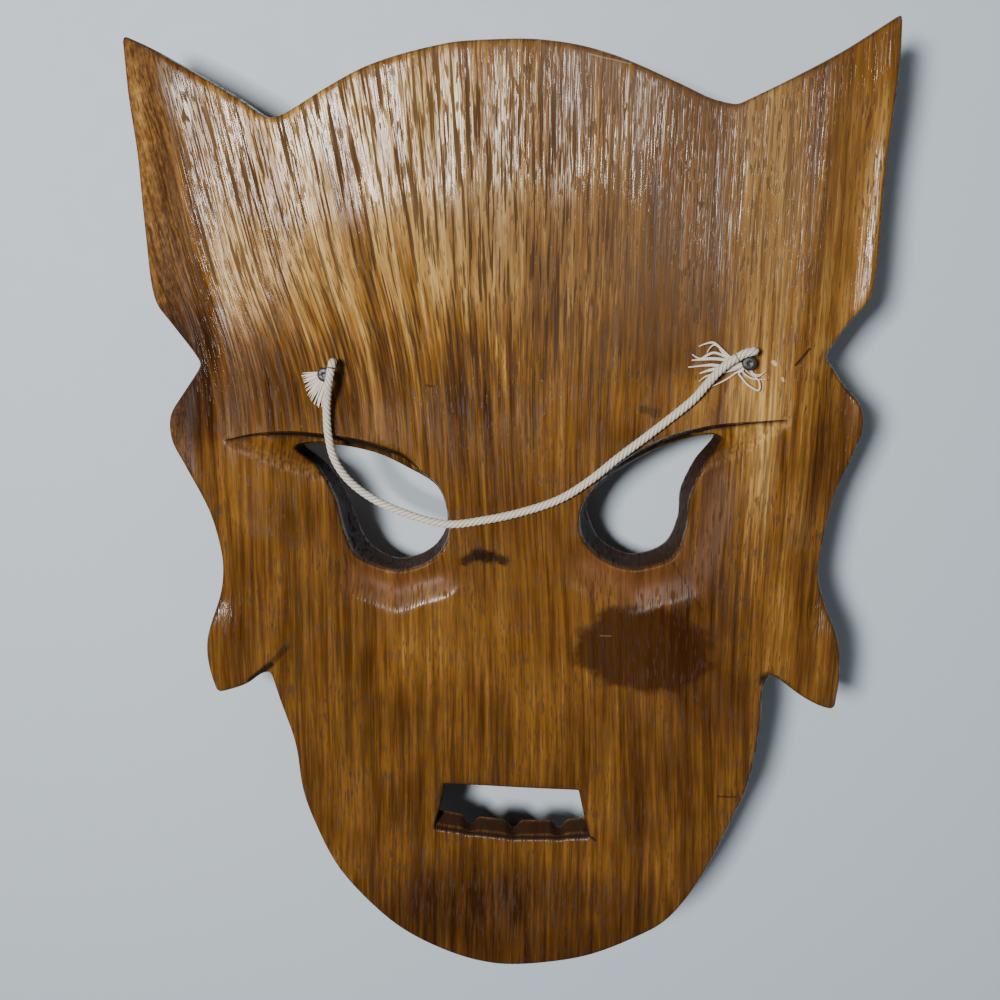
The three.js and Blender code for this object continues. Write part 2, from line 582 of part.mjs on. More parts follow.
function maskSolid() {
  const cutters = [
    eyeCutter(LEFT_EYE),
    eyeCutter(RIGHT_EYE),
    mouthCutter(),
    browCutter(LEFT_BROW_CUT),
    browCutter(RIGHT_BROW_CUT),
    nailHole(LEFT_NAIL, BOARD + OVERCUT),
    nailHole(RIGHT_NAIL, BOARD + OVERCUT),
  ];
  return cutters.reduce((solid, cutter) => solid.subtract(cutter), slab().intersect(outlinePrism()));
}

addMesh('mask', toGeometry(maskSolid()), wood);
group.add(nailMesh('nail_left', LEFT_NAIL));
group.add(nailMesh('nail_right', RIGHT_NAIL));
addMesh('hanging_cord', tube(onBack(CORD_ROUTE, CORD_DIAMETER), CORD_DIAMETER, 8, 2.9 * CORD_DIAMETER), cotton);
addMesh('frayed_end_left', toGeometry(frayedEnd(LEFT_FOLD, LEFT_STRANDS, LEFT_NAIL, LEFT_PAD_OFFSET)), cotton);
addMesh('frayed_end_right', toGeometry(frayedEnd(RIGHT_FOLD, RIGHT_STRANDS, RIGHT_NAIL, RIGHT_PAD_OFFSET)), cotton);

export default group;
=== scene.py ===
import math
from functools import reduce

import bpy
import numpy as np
from bpy.props import FloatProperty, FloatVectorProperty, IntProperty, PointerProperty
from mathutils import Matrix, Vector, geometry


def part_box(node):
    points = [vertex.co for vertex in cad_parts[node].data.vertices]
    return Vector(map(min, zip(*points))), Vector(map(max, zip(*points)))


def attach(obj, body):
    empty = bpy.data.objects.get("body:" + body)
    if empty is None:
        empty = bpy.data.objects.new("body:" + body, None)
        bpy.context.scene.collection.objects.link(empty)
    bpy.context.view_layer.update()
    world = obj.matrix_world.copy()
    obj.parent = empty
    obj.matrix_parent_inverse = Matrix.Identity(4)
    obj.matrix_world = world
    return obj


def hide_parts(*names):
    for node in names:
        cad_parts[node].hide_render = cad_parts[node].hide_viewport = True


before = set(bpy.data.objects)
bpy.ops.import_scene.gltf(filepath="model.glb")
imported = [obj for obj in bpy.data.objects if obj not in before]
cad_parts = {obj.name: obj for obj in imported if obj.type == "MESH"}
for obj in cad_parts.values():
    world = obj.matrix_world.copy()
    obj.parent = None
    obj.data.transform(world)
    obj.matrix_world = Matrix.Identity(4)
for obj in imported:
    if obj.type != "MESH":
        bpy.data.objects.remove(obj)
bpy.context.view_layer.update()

bl_info = {
    "name": "Carved Demon Mask",
    "version": (1, 0, 0),
    "blender": (4, 5, 0),
    "location": "View3D > Sidebar > Mask",
    "description": "Makes the fine surfaces of a carved wooden mask, its nails and its cotton hanging cord",
    "category": "Add Mesh",
}

MM = 0.001

# The carving is drawn in millimetres on a board of this size, and stretched to the board in the frame.
DRAWN_BOX = np.array([222.0, 305.2, 36.0])
BOARD_LOW, BOARD_HIGH = (np.array(corner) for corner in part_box("mask"))
STRETCH = (BOARD_HIGH - BOARD_LOW) / (DRAWN_BOX * MM)

# Board and wall sizes
BOARD = 36.0
RIM_WOOD = 10.0
EYE_WOOD = 14.0
TEETH_WOOD = 7.0
THINNEST_WOOD = 5.5
HOLLOW_DEPTH = 6.0
SIDE_SLOPE = 40.0
BROW_SLOPE = 66.0
JAW_SLOPE = 32.0
EAR_CHANNEL_DEPTH = 3.0
EYE_SCOOP_DEPTH = 3.0
CHEEK_SCOOP_DEPTH = 3.0

# Front carving, as heights above the wood around it and the depth of a fold
BROW_HEIGHT = 18.0
NOSE_HEIGHT = 17.0
NOSTRIL_HEIGHT = 10.0
CHEEK_HEIGHT = 9.0
FOREHEAD_HEIGHT = 20.0
CHIN_HEIGHT = 24.0
LIP_HEIGHT = 11.0
HORN_HEIGHT = 11.0
EAR_RIM_HEIGHT = 4.0
CHEEK_FOLD_DEPTH = 4.0

# Outline of the back, clockwise. Each stretch is a curve that runs on to the first point of the next one.
OUTLINE = [
    [(-110.8, 151.6), (-100.3, 146.5), (-78.3, 134), (-70.6, 128.8)],
    [(-68, 127.7), (-63.7, 129.3), (-51, 136.2), (-38.5, 142), (-17.5, 147.2), (-9, 148), (12.9, 147.7),
     (30.7, 143.8), (50.2, 135.5), (59.8, 131.1)],
    [(66.9, 129.3), (79.4, 135), (94.5, 142.5), (102.1, 147)],
    [(110.9, 152.5), (111.2, 140.9), (109.9, 110.4), (108.9, 80.6), (107.6, 74), (103.9, 69.5)],
    [(96, 57.8), (98.9, 54), (102.4, 48.9), (106.9, 43.8), (108.4, 37), (106.1, 28), (101.3, 14.9),
     (98.3, -3.5), (98.1, -10.9), (100.1, -19), (104.6, -30.5), (106, -42)],
    [(105, -54.5), (100.9, -53.6), (94.1, -50), (88.6, -45.7)],
    [(84.2, -42.6), (82.1, -48.9), (82.2, -58), (78.6, -83), (75.1, -92.2), (64.8, -116.6), (53.7, -133),
     (43.7, -140), (26.1, -148.3), (3.3, -152.5), (-7.5, -152.2), (-20, -148.8), (-40, -137.9),
     (-57.2, -119.2), (-66.3, -99.7), (-69.6, -88.3), (-71.4, -71.4), (-75.6, -55.7)],
    [(-78.2, -45.4), (-81.5, -46.6), (-86, -50), (-91.3, -52.1)],
    [(-96.7, -53.7), (-98.9, -44.5), (-99, -35.4), (-94.1, -19.4), (-92.9, -8), (-95.6, 6.8),
     (-102.5, 23), (-106.3, 32), (-106, 39.7), (-102.7, 45)],
    [(-94.9, 55.6), (-104.3, 69.1), (-107.7, 74.6), (-109.5, 96.3), (-110.2, 125)],
]

# Eye holes: the rim on the back and the narrower opening at the front, point for point
LEFT_EYE = {
    "back": [(-67.5, 29), (-60, 22.3), (-55, 13), (-52.2, 0.5), (-47.9, -8.8), (-36, -12.7), (-25, -9.2),
             (-19, -1.2), (-18.7, 7.4), (-22.2, 17.2), (-32.5, 23.5), (-45, 28.4)],
    "front": [(-66.8, 27.6), (-59.4, 20), (-54, 10.6), (-50.6, 1), (-46.6, -6.6), (-37, -11.3), (-26.2, -7.6),
              (-21.2, -0.6), (-20.9, 6), (-24, 13.6), (-33.2, 19.6), (-45.2, 25)],
}
RIGHT_EYE = {
    "back": [(66.8, 32.8), (53, 31.6), (40.3, 26), (29, 18), (23.6, 9.4), (23.4, 1.4), (28.6, -7.4),
             (38.4, -11.4), (52.4, -6.8), (56.5, 3), (57.4, 13.6), (61.5, 24.2)],
    "front": [(65.2, 31.6), (53.6, 28.8), (41.4, 23), (30.8, 15.4), (25.5, 8.4), (26.6, 2.4), (30, -3.8),
              (40, -8.7), (50.8, -5), (55, 4), (55.6, 13), (59.6, 22.6)],
}
EYE_RING_STEPS = 15
CORNER_WEAR = 3

# The fine surface: distances between points, rows of points inside each edge, and layers of the walls
OUTLINE_STEP = 1.0
CREASE_STEP = 0.8
CREASE_ROOM = 0.45
CREASE_JOIN = 2.5
BACK_INSETS = (0.15, 0.5, 1.0, 1.7)
FRONT_INSETS = (0.3, 0.9, 1.8, 3.0)
OUTLINE_LAYERS = 6
HOLE_LAYERS = 12
GRID_SEED = 11
GRID_JITTER = 0.16
GROUP_SIZE = 1200
SHARP_ANGLE = math.radians(60)

# Mouth hole: the sides of its opening, its top and lower lip, and the gaps between the teeth that stand in it
MOUTH = {"left": -24.7, "right": 26.4, "top_left": -21.4, "top_right": 23.4, "top": -89.4, "bottom": -106.4,
         "bow": 2.2, "tilt": -1.2}
TOOTH_GAPS = (-13.8, 1.1, 16.9)
TOOTH_GAP_HALF = 3.5
TOOTH_HEIGHT = 3.0
HOLE_FLARE = 0.8
MOUTH_STEPS = {"lower": 72, "right": 16, "upper": 56, "left": 16}
MOUTH_MIDDLE = -96.0
TEETH_LINE = -107.5

# The hollowed face: straight sides, an arched top under the flat forehead and an oval jaw. Ellipses are
# (x, y, half x, half y).
FACE_HALF = 80.0
HOLLOW_TOP = 112.0
HOLLOW_ARCH = 0.004
JAW = (0, -45, FACE_HALF, 107)
JAW_BLEND = 40.0

# Ridges and channels are (line, half width at its start, half width at its end).
LEFT_CHANNEL = ([(-106, 138), (-105, 100), (-99, 62), (-101, 34), (-91, -2), (-93, -34)], 15, 10)
RIGHT_CHANNEL = ([(106, 138), (105, 100), (100, 60), (102, 30), (96, -2), (99, -36)], 14, 11)
CHANNEL_RUN_OUT = 0.12
LEFT_SCOOP = ([(-50, -13), (-36, -18.5), (-22, -14)], 9, 8)
RIGHT_SCOOP = ([(25, -9), (41, -17.5), (57, -12), (63, 2), (68, 20)], 10, 9)
CHEEK_SCOOP = (47, -44, 34, 34)

# Carving of the front, the same on both sides
FACE = (0, -2, 88, 152)
FACE_SLOPE = 0.55
FOREHEAD = (0, 88, 52, 42)
CHEEK = (52, -38, 28, 26)
CHIN = (0, -130, 30, 19)
NOSTRIL = (17, -50, 13, 12)
BROW = ([(8, 12), (26, 36), (54, 49), (92, 51)], 13, 8)
BROW_END = 0.5
NOSE = ([(0, 24), (0, -12), (0, -50)], 10, 17)
NOSE_ROOT = 0.35
NOSE_TIP = 1.1
CHEEK_FOLD = ([(24, -54), (43, -74), (44, -104)], 6, 5)
HORN = ([(84, 84), (94, 112), (109, 149)], 20, 5)
HORN_END = 0.3
EAR_RIM = ([(99, 52), (104, 34), (95, 0), (101, -44)], 7, 6)
EAR_SLOPE = 0.6
LIPS = (1, -97, 40, 20)
LIP_CREST = 1.12
LIP_SPREAD = 0.42
LIP_SLOPE = 0.3

# Brow cuts at stations from the tip to the eye: x, y of the upper line, y of the lower line, depth, run of
# the wall
LEFT_BROW_CUT = [
    (-88, 32.2, 31.7, 0.4, 0.2), (-78.4, 34.3, 27.5, 3.5, 1.2), (-67.1, 34.8, 22.9, 6.5, 2.4),
    (-57.5, 33.6, 19.6, 8, 3), (-46, 31.5, 18, 7, 3), (-33.4, 27.6, 14, 4.5, 2.6), (-26.5, 21.6, 12, 1.5, 1),
]
RIGHT_BROW_CUT = [
    (31, 20.6, 9, 1.2, 0.8), (38, 26.2, 13, 3, 1.6), (47.6, 32, 18, 6, 2.6), (58.7, 36, 22.3, 8, 2.8),
    (67, 37.8, 27, 6.5, 2.2), (76, 38.7, 31.6, 3.5, 1.2), (86, 39.4, 38.9, 0.4, 0.2),
]

# Nails and cord ends in millimetres, and the cord's route in the frame's metres: x, y and how far the
# middle line is raised above a cord that lies on the wood
LEFT_NAIL = (-55.5, 52.6)
RIGHT_NAIL = (72.9, 56.5)
NAIL_HEAD_DIAMETER = 4.4
NAIL_HEAD_LIFT = 2.0
NAIL_RAISE = 0.3
CORD_DIAMETER = 2.6
LYING_GAP = 0.6
ROPE_STEP = 0.28
ROPE_AROUND = 36
FAN_SEED = 5
FAN_SPREAD = 0.28
CORD_ROUTE = [
    (-0.05265, 0.0548, 0.0039), (-0.0531, 0.0529, 0.0038), (-0.0538, 0.05, 0.0035), (-0.0545, 0.0468, 0.0022),
    (-0.0552, 0.0435, 0.0009), (-0.0556, 0.0395, 0.0001), (-0.0555, 0.0341, 0), (-0.0542, 0.0261, -0.0005),
    (-0.0506, 0.0193, -0.0011), (-0.044, 0.0132, -0.0014), (-0.0339, 0.0083, -0.0009), (-0.0192, 0.0046, 0),
    (-0.007, 0.006, 0), (0.0051, 0.0088, 0), (0.017, 0.0131, 0), (0.0261, 0.019, 0), (0.035, 0.0264, 0),
    (0.0446, 0.034, 0), (0.0546, 0.0426, 0.0002), (0.0578, 0.0458, 0.0004), (0.061, 0.0501, 0.001),
    (0.0642, 0.0542, 0.0019), (0.0672, 0.0571, 0.0027), (0.069, 0.05835, 0.0031),
]
LEFT_FOLD = [(-52.55, 55.25, 3.95), (-52.4, 56.1, 3.6), (-52.3, 56.6, 2.6), (-52.4, 56.6, 1.4),
             (-52.8, 56.1, 0.5), (-53.2, 55.5, 0.1)]
RIGHT_FOLD = [(69.25, 58.5, 3.1), (71, 59.5, 3.2), (72.6, 60, 3.1), (73.9, 60.2, 2.6), (74.5, 60.1, 1.6),
              (74.45, 59.8, 0.7), (74.15, 59.4, 0.1)]
LEFT_FAN_BASE = [(-57.3, 53.2), (-57.2, 51.6), (-56.2, 50.6), (-54.8, 50.4)]
LEFT_FAN_TIPS = [(-62.5, 52.9), (-62.3, 51.2), (-62.1, 49.8), (-61.7, 47.7), (-60.7, 45.6), (-60.1, 44.3),
                 (-59, 42.7), (-57.9, 42.2), (-56.9, 42.6)]


def smooth(value):
    """Smoothstep: three times the square less twice the cube of a value held between 0 and 1."""
    value = np.clip(value, 0.0, 1.0)
    return value * value * (3 - 2 * value)


def mix(start, end, share):
    """The value a share of the way from start to end."""
    return start + (end - start) * share


def from_middle(x, y, ellipse):
    """Distance from an ellipse's middle: 0 there, and 1 on its edge."""
    middle_x, middle_y, half_x, half_y = ellipse
    return np.hypot((x - middle_x) / half_x, (y - middle_y) / half_y)


def region(x, y, ellipse, reach=1.5, fade=0.9):
    """1 well inside an ellipse, and 0 from reach times as far out as its edge."""
    return smooth((reach - from_middle(x, y, ellipse)) / fade)


def mound(x, y, ellipse):
    """A round mound: 1 at the ellipse's middle and 0 at its edge."""
    return smooth(1 - from_middle(x, y, ellipse))


def along_line(x, y, line):
    """Nearest place on a line of points: its share of the way along, and the distance to it."""
    share = np.zeros(np.shape(x))
    distance = np.full(np.shape(x), np.inf)
    for i, ((ax, ay), (bx, by)) in enumerate(zip(line[:-1], line[1:])):
        square = (bx - ax) ** 2 + (by - ay) ** 2
        t = np.clip(((x - ax) * (bx - ax) + (y - ay) * (by - ay)) / square, 0, 1)
        away = np.hypot(x - mix(ax, bx, t), y - mix(ay, by, t))
        nearer = away < distance
        share = np.where(nearer, (i + t) / (len(line) - 1), share)
        distance = np.where(nearer, away, distance)
    return share, distance


def ridge(x, y, form):
    """A ridge with a round section: its share along the line, and its height, 1 on the line and 0 at its
    sides."""
    line, start_half, end_half = form
    share, distance = along_line(x, y, line)
    return share, smooth(1 - distance / mix(start_half, end_half, share))


def inside_face(x, y):
    """How far inside the hollowed face a place lies: 0 on its edge and 1 past the slope."""
    side = FACE_HALF * (1 - from_middle(x, np.minimum(y, JAW[1]), JAW))
    side_slope = mix(SIDE_SLOPE, JAW_SLOPE, smooth((JAW[1] - y) / JAW_BLEND))
    top = HOLLOW_TOP - HOLLOW_ARCH * x * x - y
    return smooth(side / side_slope) * smooth(top / BROW_SLOPE)


def scoop(x, y):
    """The scoop under each eye: 1 along its middle and 0 at its sides."""
    return np.where(x > 0, ridge(x, y, RIGHT_SCOOP)[1], ridge(x, y, LEFT_SCOOP)[1])


def back_depth(x, y):
    """Depth of the back's carving: the face's hollow, a channel down each horn and ear, the scoops and a
    cheek."""
    inside = inside_face(x, y)
    left_share, left = ridge(x, y, LEFT_CHANNEL)
    right_share, right = ridge(x, y, RIGHT_CHANNEL)
    share = np.where(x > 0, right_share, left_share)
    run_out = smooth(share / CHANNEL_RUN_OUT) * smooth((1 - share) / CHANNEL_RUN_OUT)
    return (
        HOLLOW_DEPTH * inside
        + EAR_CHANNEL_DEPTH * np.where(x > 0, right, left) * run_out
        + EYE_SCOOP_DEPTH * scoop(x, y) * inside
        + CHEEK_SCOOP_DEPTH * mound(x, y, CHEEK_SCOOP) * inside
    )


def front_depth(x, y):
    """Depth of the front's carving below the back face, so that a high place of the face has a large
    depth."""
    mirrored = np.abs(x)
    face = smooth((1 - from_middle(x, y, FACE) ** 2) / FACE_SLOPE)
    depth = mix(RIM_WOOD, HOLLOW_DEPTH + EYE_WOOD, face)
    depth = depth + FOREHEAD_HEIGHT * mound(x, y, FOREHEAD)
    depth = depth + CHEEK_HEIGHT * mound(mirrored, y, CHEEK)
    depth = depth + CHIN_HEIGHT * mound(x, y, CHIN)
    depth = depth + NOSTRIL_HEIGHT * mound(mirrored, y, NOSTRIL)
    share, brow = ridge(mirrored, y, BROW)
    depth = depth + BROW_HEIGHT * mix(1, BROW_END, share) * brow
    share, nose = ridge(x, y, NOSE)
    depth = depth + NOSE_HEIGHT * mix(NOSE_ROOT, NOSE_TIP, share) * nose
    share, fold = ridge(mirrored, y, CHEEK_FOLD)
    depth = depth - CHEEK_FOLD_DEPTH * fold * np.sin(np.pi * share)
    mouth = from_middle(x, y, LIPS)
    depth = mix(depth, HOLLOW_DEPTH + TEETH_WOOD, smooth((1 - mouth) / LIP_SLOPE))
    depth = depth + LIP_HEIGHT * smooth(1 - np.abs(mouth - LIP_CREST) / LIP_SPREAD)
    share, horn = ridge(mirrored, y, HORN)
    depth = depth + HORN_HEIGHT * mix(1, HORN_END, share) * horn
    ear = ridge(mirrored, y, EAR_RIM)[1]
    return depth + EAR_RIM_HEIGHT * ear * smooth((1 - face) / EAR_SLOPE)


def brow_cut(x, y):
    """Depth of the brow cuts, 1 on their steep walls and 1 along their lower lines: the wall falls from the
    upper line, and a slope rises from its bottom to the lower line."""
    depth = np.zeros(np.shape(x))
    steep = np.zeros(np.shape(x))
    brim = np.zeros(np.shape(x))
    for stations in (LEFT_BROW_CUT, RIGHT_BROW_CUT):
        places, uppers, lowers, depths, runs = (np.array(column, float) for column in zip(*stations))
        upper = np.interp(x, places, uppers)
        lower = np.interp(x, places, lowers)
        run = np.interp(x, places, runs)
        deep = np.interp(x, places, depths)
        within = (x > places[0]) & (x < places[-1])
        wall = np.clip((upper - y) / run, 0, 1)
        slope = np.clip((y - lower) / (upper - run - lower), 0, 1)
        depth = np.where(within, np.maximum(depth, deep * np.minimum(wall, slope)), depth)
        steep = np.where(within & (y < upper + 0.3) & (y > upper - run - 0.2), 1.0, steep)
        brim = np.where(within, np.maximum(brim, smooth(1.6 - np.abs(y - lower - 0.4) / 1.6)), brim)
    return depth, steep, brim


def waviness(x, y, size, flutes):
    """The knife's unevenness: three crossing waves of a few centimetres, adding up to a size, and upright
    flutes about 2 cm apart above the eyes."""
    wave = np.sin(x / 7.3 + 1.1 * np.sin(y / 19)) + np.sin(y / 9.1 + 1.7 * np.sin(x / 15))
    wave = wave + np.sin((x + y) / 12.7) * np.sin((x - y) / 10.3)
    flute = np.sin(x / 3.3 + 0.9 * np.sin(y / 31) + 1.4 * np.sin(x / 17))
    return size * wave / 3 + flutes * flute * smooth((y - 20) / 50)


def back_height(x, y):
    """Height of the back without the brow cuts, in the board's millimetres."""
    return BOARD - back_depth(x, y)


def front_height(x, y):
    """Height of the front: on the table at its highest places, and a wall's thickness under the back."""
    return np.clip(BOARD - front_depth(x, y), 0, back_height(x, y) - THINNEST_WOOD)


def front_grooves(x, y):
    """Depth of the front's fine grooves: wrinkles across the forehead, hairs of the brows and gaps of the
    teeth."""
    mirrored = np.abs(x)
    wrinkle = np.zeros(np.shape(x))
    for level in (66, 78, 90):
        line = level + 5 * np.cos(x / 13) - 0.004 * x * x
        wrinkle = np.maximum(wrinkle, smooth(1 - np.abs(y - line) / 2.4) * smooth((40 - mirrored) / 16))
    share, distance = along_line(mirrored, y, BROW[0])
    hairs = np.maximum(np.cos(2 * np.pi * (share * 26 + distance * 0.09)), 0) ** 2
    hairs = hairs * smooth((13 - distance) / 6) * smooth(share / 0.1)
    teeth = np.zeros(np.shape(x))
    for gap in TOOTH_GAPS:
        teeth = np.maximum(teeth, smooth(1 - np.abs(x - gap) / 1.4))
    teeth = teeth * smooth(1 - np.abs(y - TEETH_LINE) / 6)
    nostril = mound(mirrored, y, (12, -58, 4.5, 3.5))
    return 1.1 * wrinkle + 0.7 * hairs + 1.6 * teeth + 4.0 * nostril


def rounded(distance, radius):
    """How far a rounded edge falls: a quarter circle of the radius, from the edge inwards."""
    inward = radius - np.clip(distance, 0, radius)
    return radius - np.sqrt(np.maximum(radius * radius - inward * inward, 0))


def curve_through(points, per_span, closed=False):
    """Points on the centripetal Catmull-Rom curve through the points given: each span is the cubic whose
    ends have the slopes of the curve that is spaced by the square root of the distances."""
    points = np.asarray(points, float)
    if closed:
        line = np.concatenate([points[-1:], points, points[:2]])
    else:
        line = np.concatenate([2 * points[:1] - points[1:2], points, 2 * points[-1:] - points[-2:-1]])
    roots = np.sqrt(np.linalg.norm(np.diff(line, axis=0), axis=1))[:, None]
    before, start, end, after = line[:-3], line[1:-2], line[2:-1], line[3:]
    k0, k1, k2 = roots[:-2], roots[1:-1], roots[2:]
    leave = k1 * ((start - before) / k0 - (end - before) / (k0 + k1) + (end - start) / k1)
    arrive = k1 * ((end - start) / k1 - (after - start) / (k1 + k2) + (after - end) / k2)
    t = (np.arange(per_span) / per_span)[None, :, None]
    start, end, leave, arrive = (part[:, None] for part in (start, end, leave, arrive))
    made = start * (2 * t**3 - 3 * t**2 + 1) + leave * (t**3 - 2 * t**2 + t)
    made = made + end * (3 * t**2 - 2 * t**3) + arrive * (t**3 - t**2)
    made = made.reshape(-1, points.shape[1])
    return made if closed else np.concatenate([made, points[-1:]])


def line_lengths(line):
    """Length along a line up to each of its points."""
    return np.concatenate([[0], np.cumsum(np.linalg.norm(np.diff(line, axis=0), axis=1))])


def evenly(line, step):
    """Points at even distances of about one step along a line, ends included."""
    lengths = line_lengths(line)
    count = max(1, round(lengths[-1] / step))
    places = np.linspace(0, lengths[-1], count + 1)
    return np.stack([np.interp(places, lengths, column) for column in np.transpose(line)], axis=1)


def outline_ring(step):
    """The outline anticlockwise: each stretch is a curve from corner to corner, and the corners are a
    little worn."""
    stretches = [
        evenly(curve_through([*stretch, OUTLINE[(i + 1) % len(OUTLINE)][0]], 24), step)[:-1]
        for i, stretch in enumerate(OUTLINE)
    ]
    ring = np.concatenate(stretches)[::-1]
    for _ in range(CORNER_WEAR):
        ring = 0.5 * ring + 0.25 * (np.roll(ring, 1, axis=0) + np.roll(ring, -1, axis=0))
    return ring


def eye_ring(eye, levels):
    """An eye hole's ring: its wall widens from the front opening to the back rim through the wood's
    thickness."""
    back = curve_through(eye["back"], EYE_RING_STEPS, closed=True)
    front = curve_through(eye["front"], EYE_RING_STEPS, closed=True)
    share = np.clip((levels - (BOARD - HOLLOW_DEPTH - EYE_WOOD)) / EYE_WOOD, 0, 1)
    return mix(front, back, np.asarray(share)[..., None])


def mouth_ring(levels):
    """The mouth's ring: its lower edge is bowed and carries the teeth, which fade as the edge flares to the
    back."""
    share = np.clip((levels - (BOARD - HOLLOW_DEPTH - TEETH_WOOD)) / (TEETH_WOOD + 1), 0, 1)
    parts = np.repeat(list(MOUTH_STEPS), list(MOUTH_STEPS.values()))
    t = np.concatenate([np.arange(count) / count for count in MOUTH_STEPS.values()])
    flare = HOLE_FLARE * share
    left, right = MOUTH["left"] - flare, MOUTH["right"] + flare

    def lower_edge(s):
        x = mix(left, right, s)
        gap = np.min([np.abs(x - place) for place in TOOTH_GAPS], axis=0)
        tooth = (1 - share) * TOOTH_HEIGHT * smooth(gap / TOOTH_GAP_HALF)
        y = MOUTH["bottom"] + MOUTH["tilt"] * (s - 0.5) - flare + MOUTH["bow"] * (2 * s - 1) ** 2 + tooth
        return np.stack([x, y], axis=-1)

    def upper_edge(s):
        x = mix(MOUTH["top_right"] + 0.5 * flare, MOUTH["top_left"] - 0.5 * flare, s)
        return np.stack([x, MOUTH["top"] + 0.5 * flare + MOUTH["tilt"] * (0.5 - s)], axis=-1)

    one, none = np.ones(len(t)), np.zeros(len(t))
    side = t[:, None]
    places = {
        "lower": lower_edge(t),
        "right": mix(lower_edge(one), upper_edge(none), side),
        "upper": upper_edge(t),
        "left": mix(upper_edge(one), lower_edge(none), side),
    }
    return np.select([(parts == name)[:, None] for name in places], list(places.values()))


HOLES = [
    lambda levels: eye_ring(LEFT_EYE, levels),
    lambda levels: eye_ring(RIGHT_EYE, levels),
    mouth_ring,
]
HOLE_COUNTS = [12 * EYE_RING_STEPS, 12 * EYE_RING_STEPS, sum(MOUTH_STEPS.values())]


def rim_of(hole, count, height):
    """Where a hole's wall meets a surface: the ring at its own level, found by trying again a few times."""
    levels = np.full(count, BOARD - HOLLOW_DEPTH)
    for _ in range(8):
        ring = hole(levels)
        levels = height(ring[:, 0], ring[:, 1])
    return ring


def in_groups(points, measure):
    """What a measure gives for each point, taken in groups so that its arrays stay small."""
    groups = np.array_split(points, max(1, len(points) // GROUP_SIZE))
    return np.concatenate([measure(group) for group in groups])


def distance_to(points, ring):
    """Distance from each point to the nearest span of a closed ring."""
    spans = np.roll(ring, -1, axis=0) - ring
    square = (spans**2).sum(axis=1)

    def measure(group):
        away = group[:, None] - ring[None]
        share = np.clip((away * spans).sum(axis=2) / square, 0, 1)
        gap = away - share[..., None] * spans
        return np.sqrt((gap**2).sum(axis=2).min(axis=1))

    return in_groups(points, measure)


def inside_ring(points, ring):
    """True for points inside a closed ring: a ray to the right crosses it an odd number of times."""
    start, end = ring, np.roll(ring, -1, axis=0)
    rise = np.where(end[:, 1] == start[:, 1], 1, end[:, 1] - start[:, 1])

    def measure(group):
        x, y = group[:, 0, None], group[:, 1, None]
        straddles = (start[:, 1] > y) != (end[:, 1] > y)
        crossing = start[:, 0] + (y - start[:, 1]) / rise * (end[:, 0] - start[:, 0])
        return (straddles & (x < crossing)).sum(axis=1) % 2 == 1

    return in_groups(points, measure)


def ring_normals(ring):
    """Unit normals on the left of an anticlockwise ring, so they point inside it."""
    along = np.roll(ring, -1, axis=0) - np.roll(ring, 1, axis=0)
    normal = np.stack([-along[:, 1], along[:, 0]], axis=1)
    return normal / np.linalg.norm(normal, axis=1, keepdims=True)


def sheet_points(rings, insets, step, creases=()):
    """Points of one face of the mask: its rings, rows inside each ring that carry the rounded edge, the
    crease lines, and a jittered triangular grid between them. The first ring is the outline, and the rest
    are holes."""
    rng = np.random.default_rng(GRID_SEED)
    edge_step = insets[-1] + 0.5 * step
    low, high = rings[0].min(axis=0), rings[0].max(axis=0)
    rows = np.arange(low[1], high[1], step * math.sqrt(0.75))
    columns = np.arange(low[0], high[0], step)
    x, y = np.meshgrid(columns, rows)
    x = x + 0.5 * step * (np.arange(len(rows)) % 2)[:, None]
    grid = np.stack([x.ravel(), y.ravel()], axis=1)
    grid = grid + rng.uniform(-GRID_JITTER, GRID_JITTER, grid.shape) * step
    candidates = [grid]
    allowed = [np.full(len(grid), edge_step)]
    for number, ring in enumerate(rings):
        side = 1 if number == 0 else -1
        for inset in insets:
            candidates.append(ring + side * inset * ring_normals(ring))
            allowed.append(np.full(len(ring), 0.97 * inset))
    for crease in creases:
        candidates.append(crease)
        allowed.append(np.full(len(crease), CREASE_ROOM))
    kinds = np.repeat(np.arange(len(candidates)), [len(part) for part in candidates])
    points, allowed = np.concatenate(candidates), np.concatenate(allowed)
    keep = inside_ring(points, rings[0])
    for ring in rings[1:]:
        keep &= ~inside_ring(points, ring)
    points, allowed, kinds = points[keep], allowed[keep], kinds[keep]
    gaps = np.stack([distance_to(points, ring) for ring in rings], axis=1)
    keep = gaps.min(axis=1) >= allowed
    if creases:
        lines = np.concatenate(creases)
        near = (kinds < len(candidates) - len(creases)) & keep
        spots = np.flatnonzero(near)
        closest = nearest_point(points[spots], lines)
        keep[spots[closest < CREASE_ROOM * step]] = False
    edges = []
    first = sum(len(ring) for ring in rings)
    order = np.cumsum(keep) - 1 + first
    for number in range(len(candidates) - len(creases), len(candidates)):
        members = np.flatnonzero((kinds == number) & keep)
        steps = np.linalg.norm(np.diff(points[members], axis=0), axis=1)
        joined = np.flatnonzero(steps < CREASE_JOIN)
        edges += [(int(order[members[i]]), int(order[members[i + 1]])) for i in joined]
    return points[keep], gaps[keep], edges


def nearest_point(points, others):
    """Distance from each point to the nearest of the others."""
    return in_groups(
        points, lambda group: np.sqrt(((group[:, None] - others[None])**2).sum(axis=2).min(axis=1))
    )


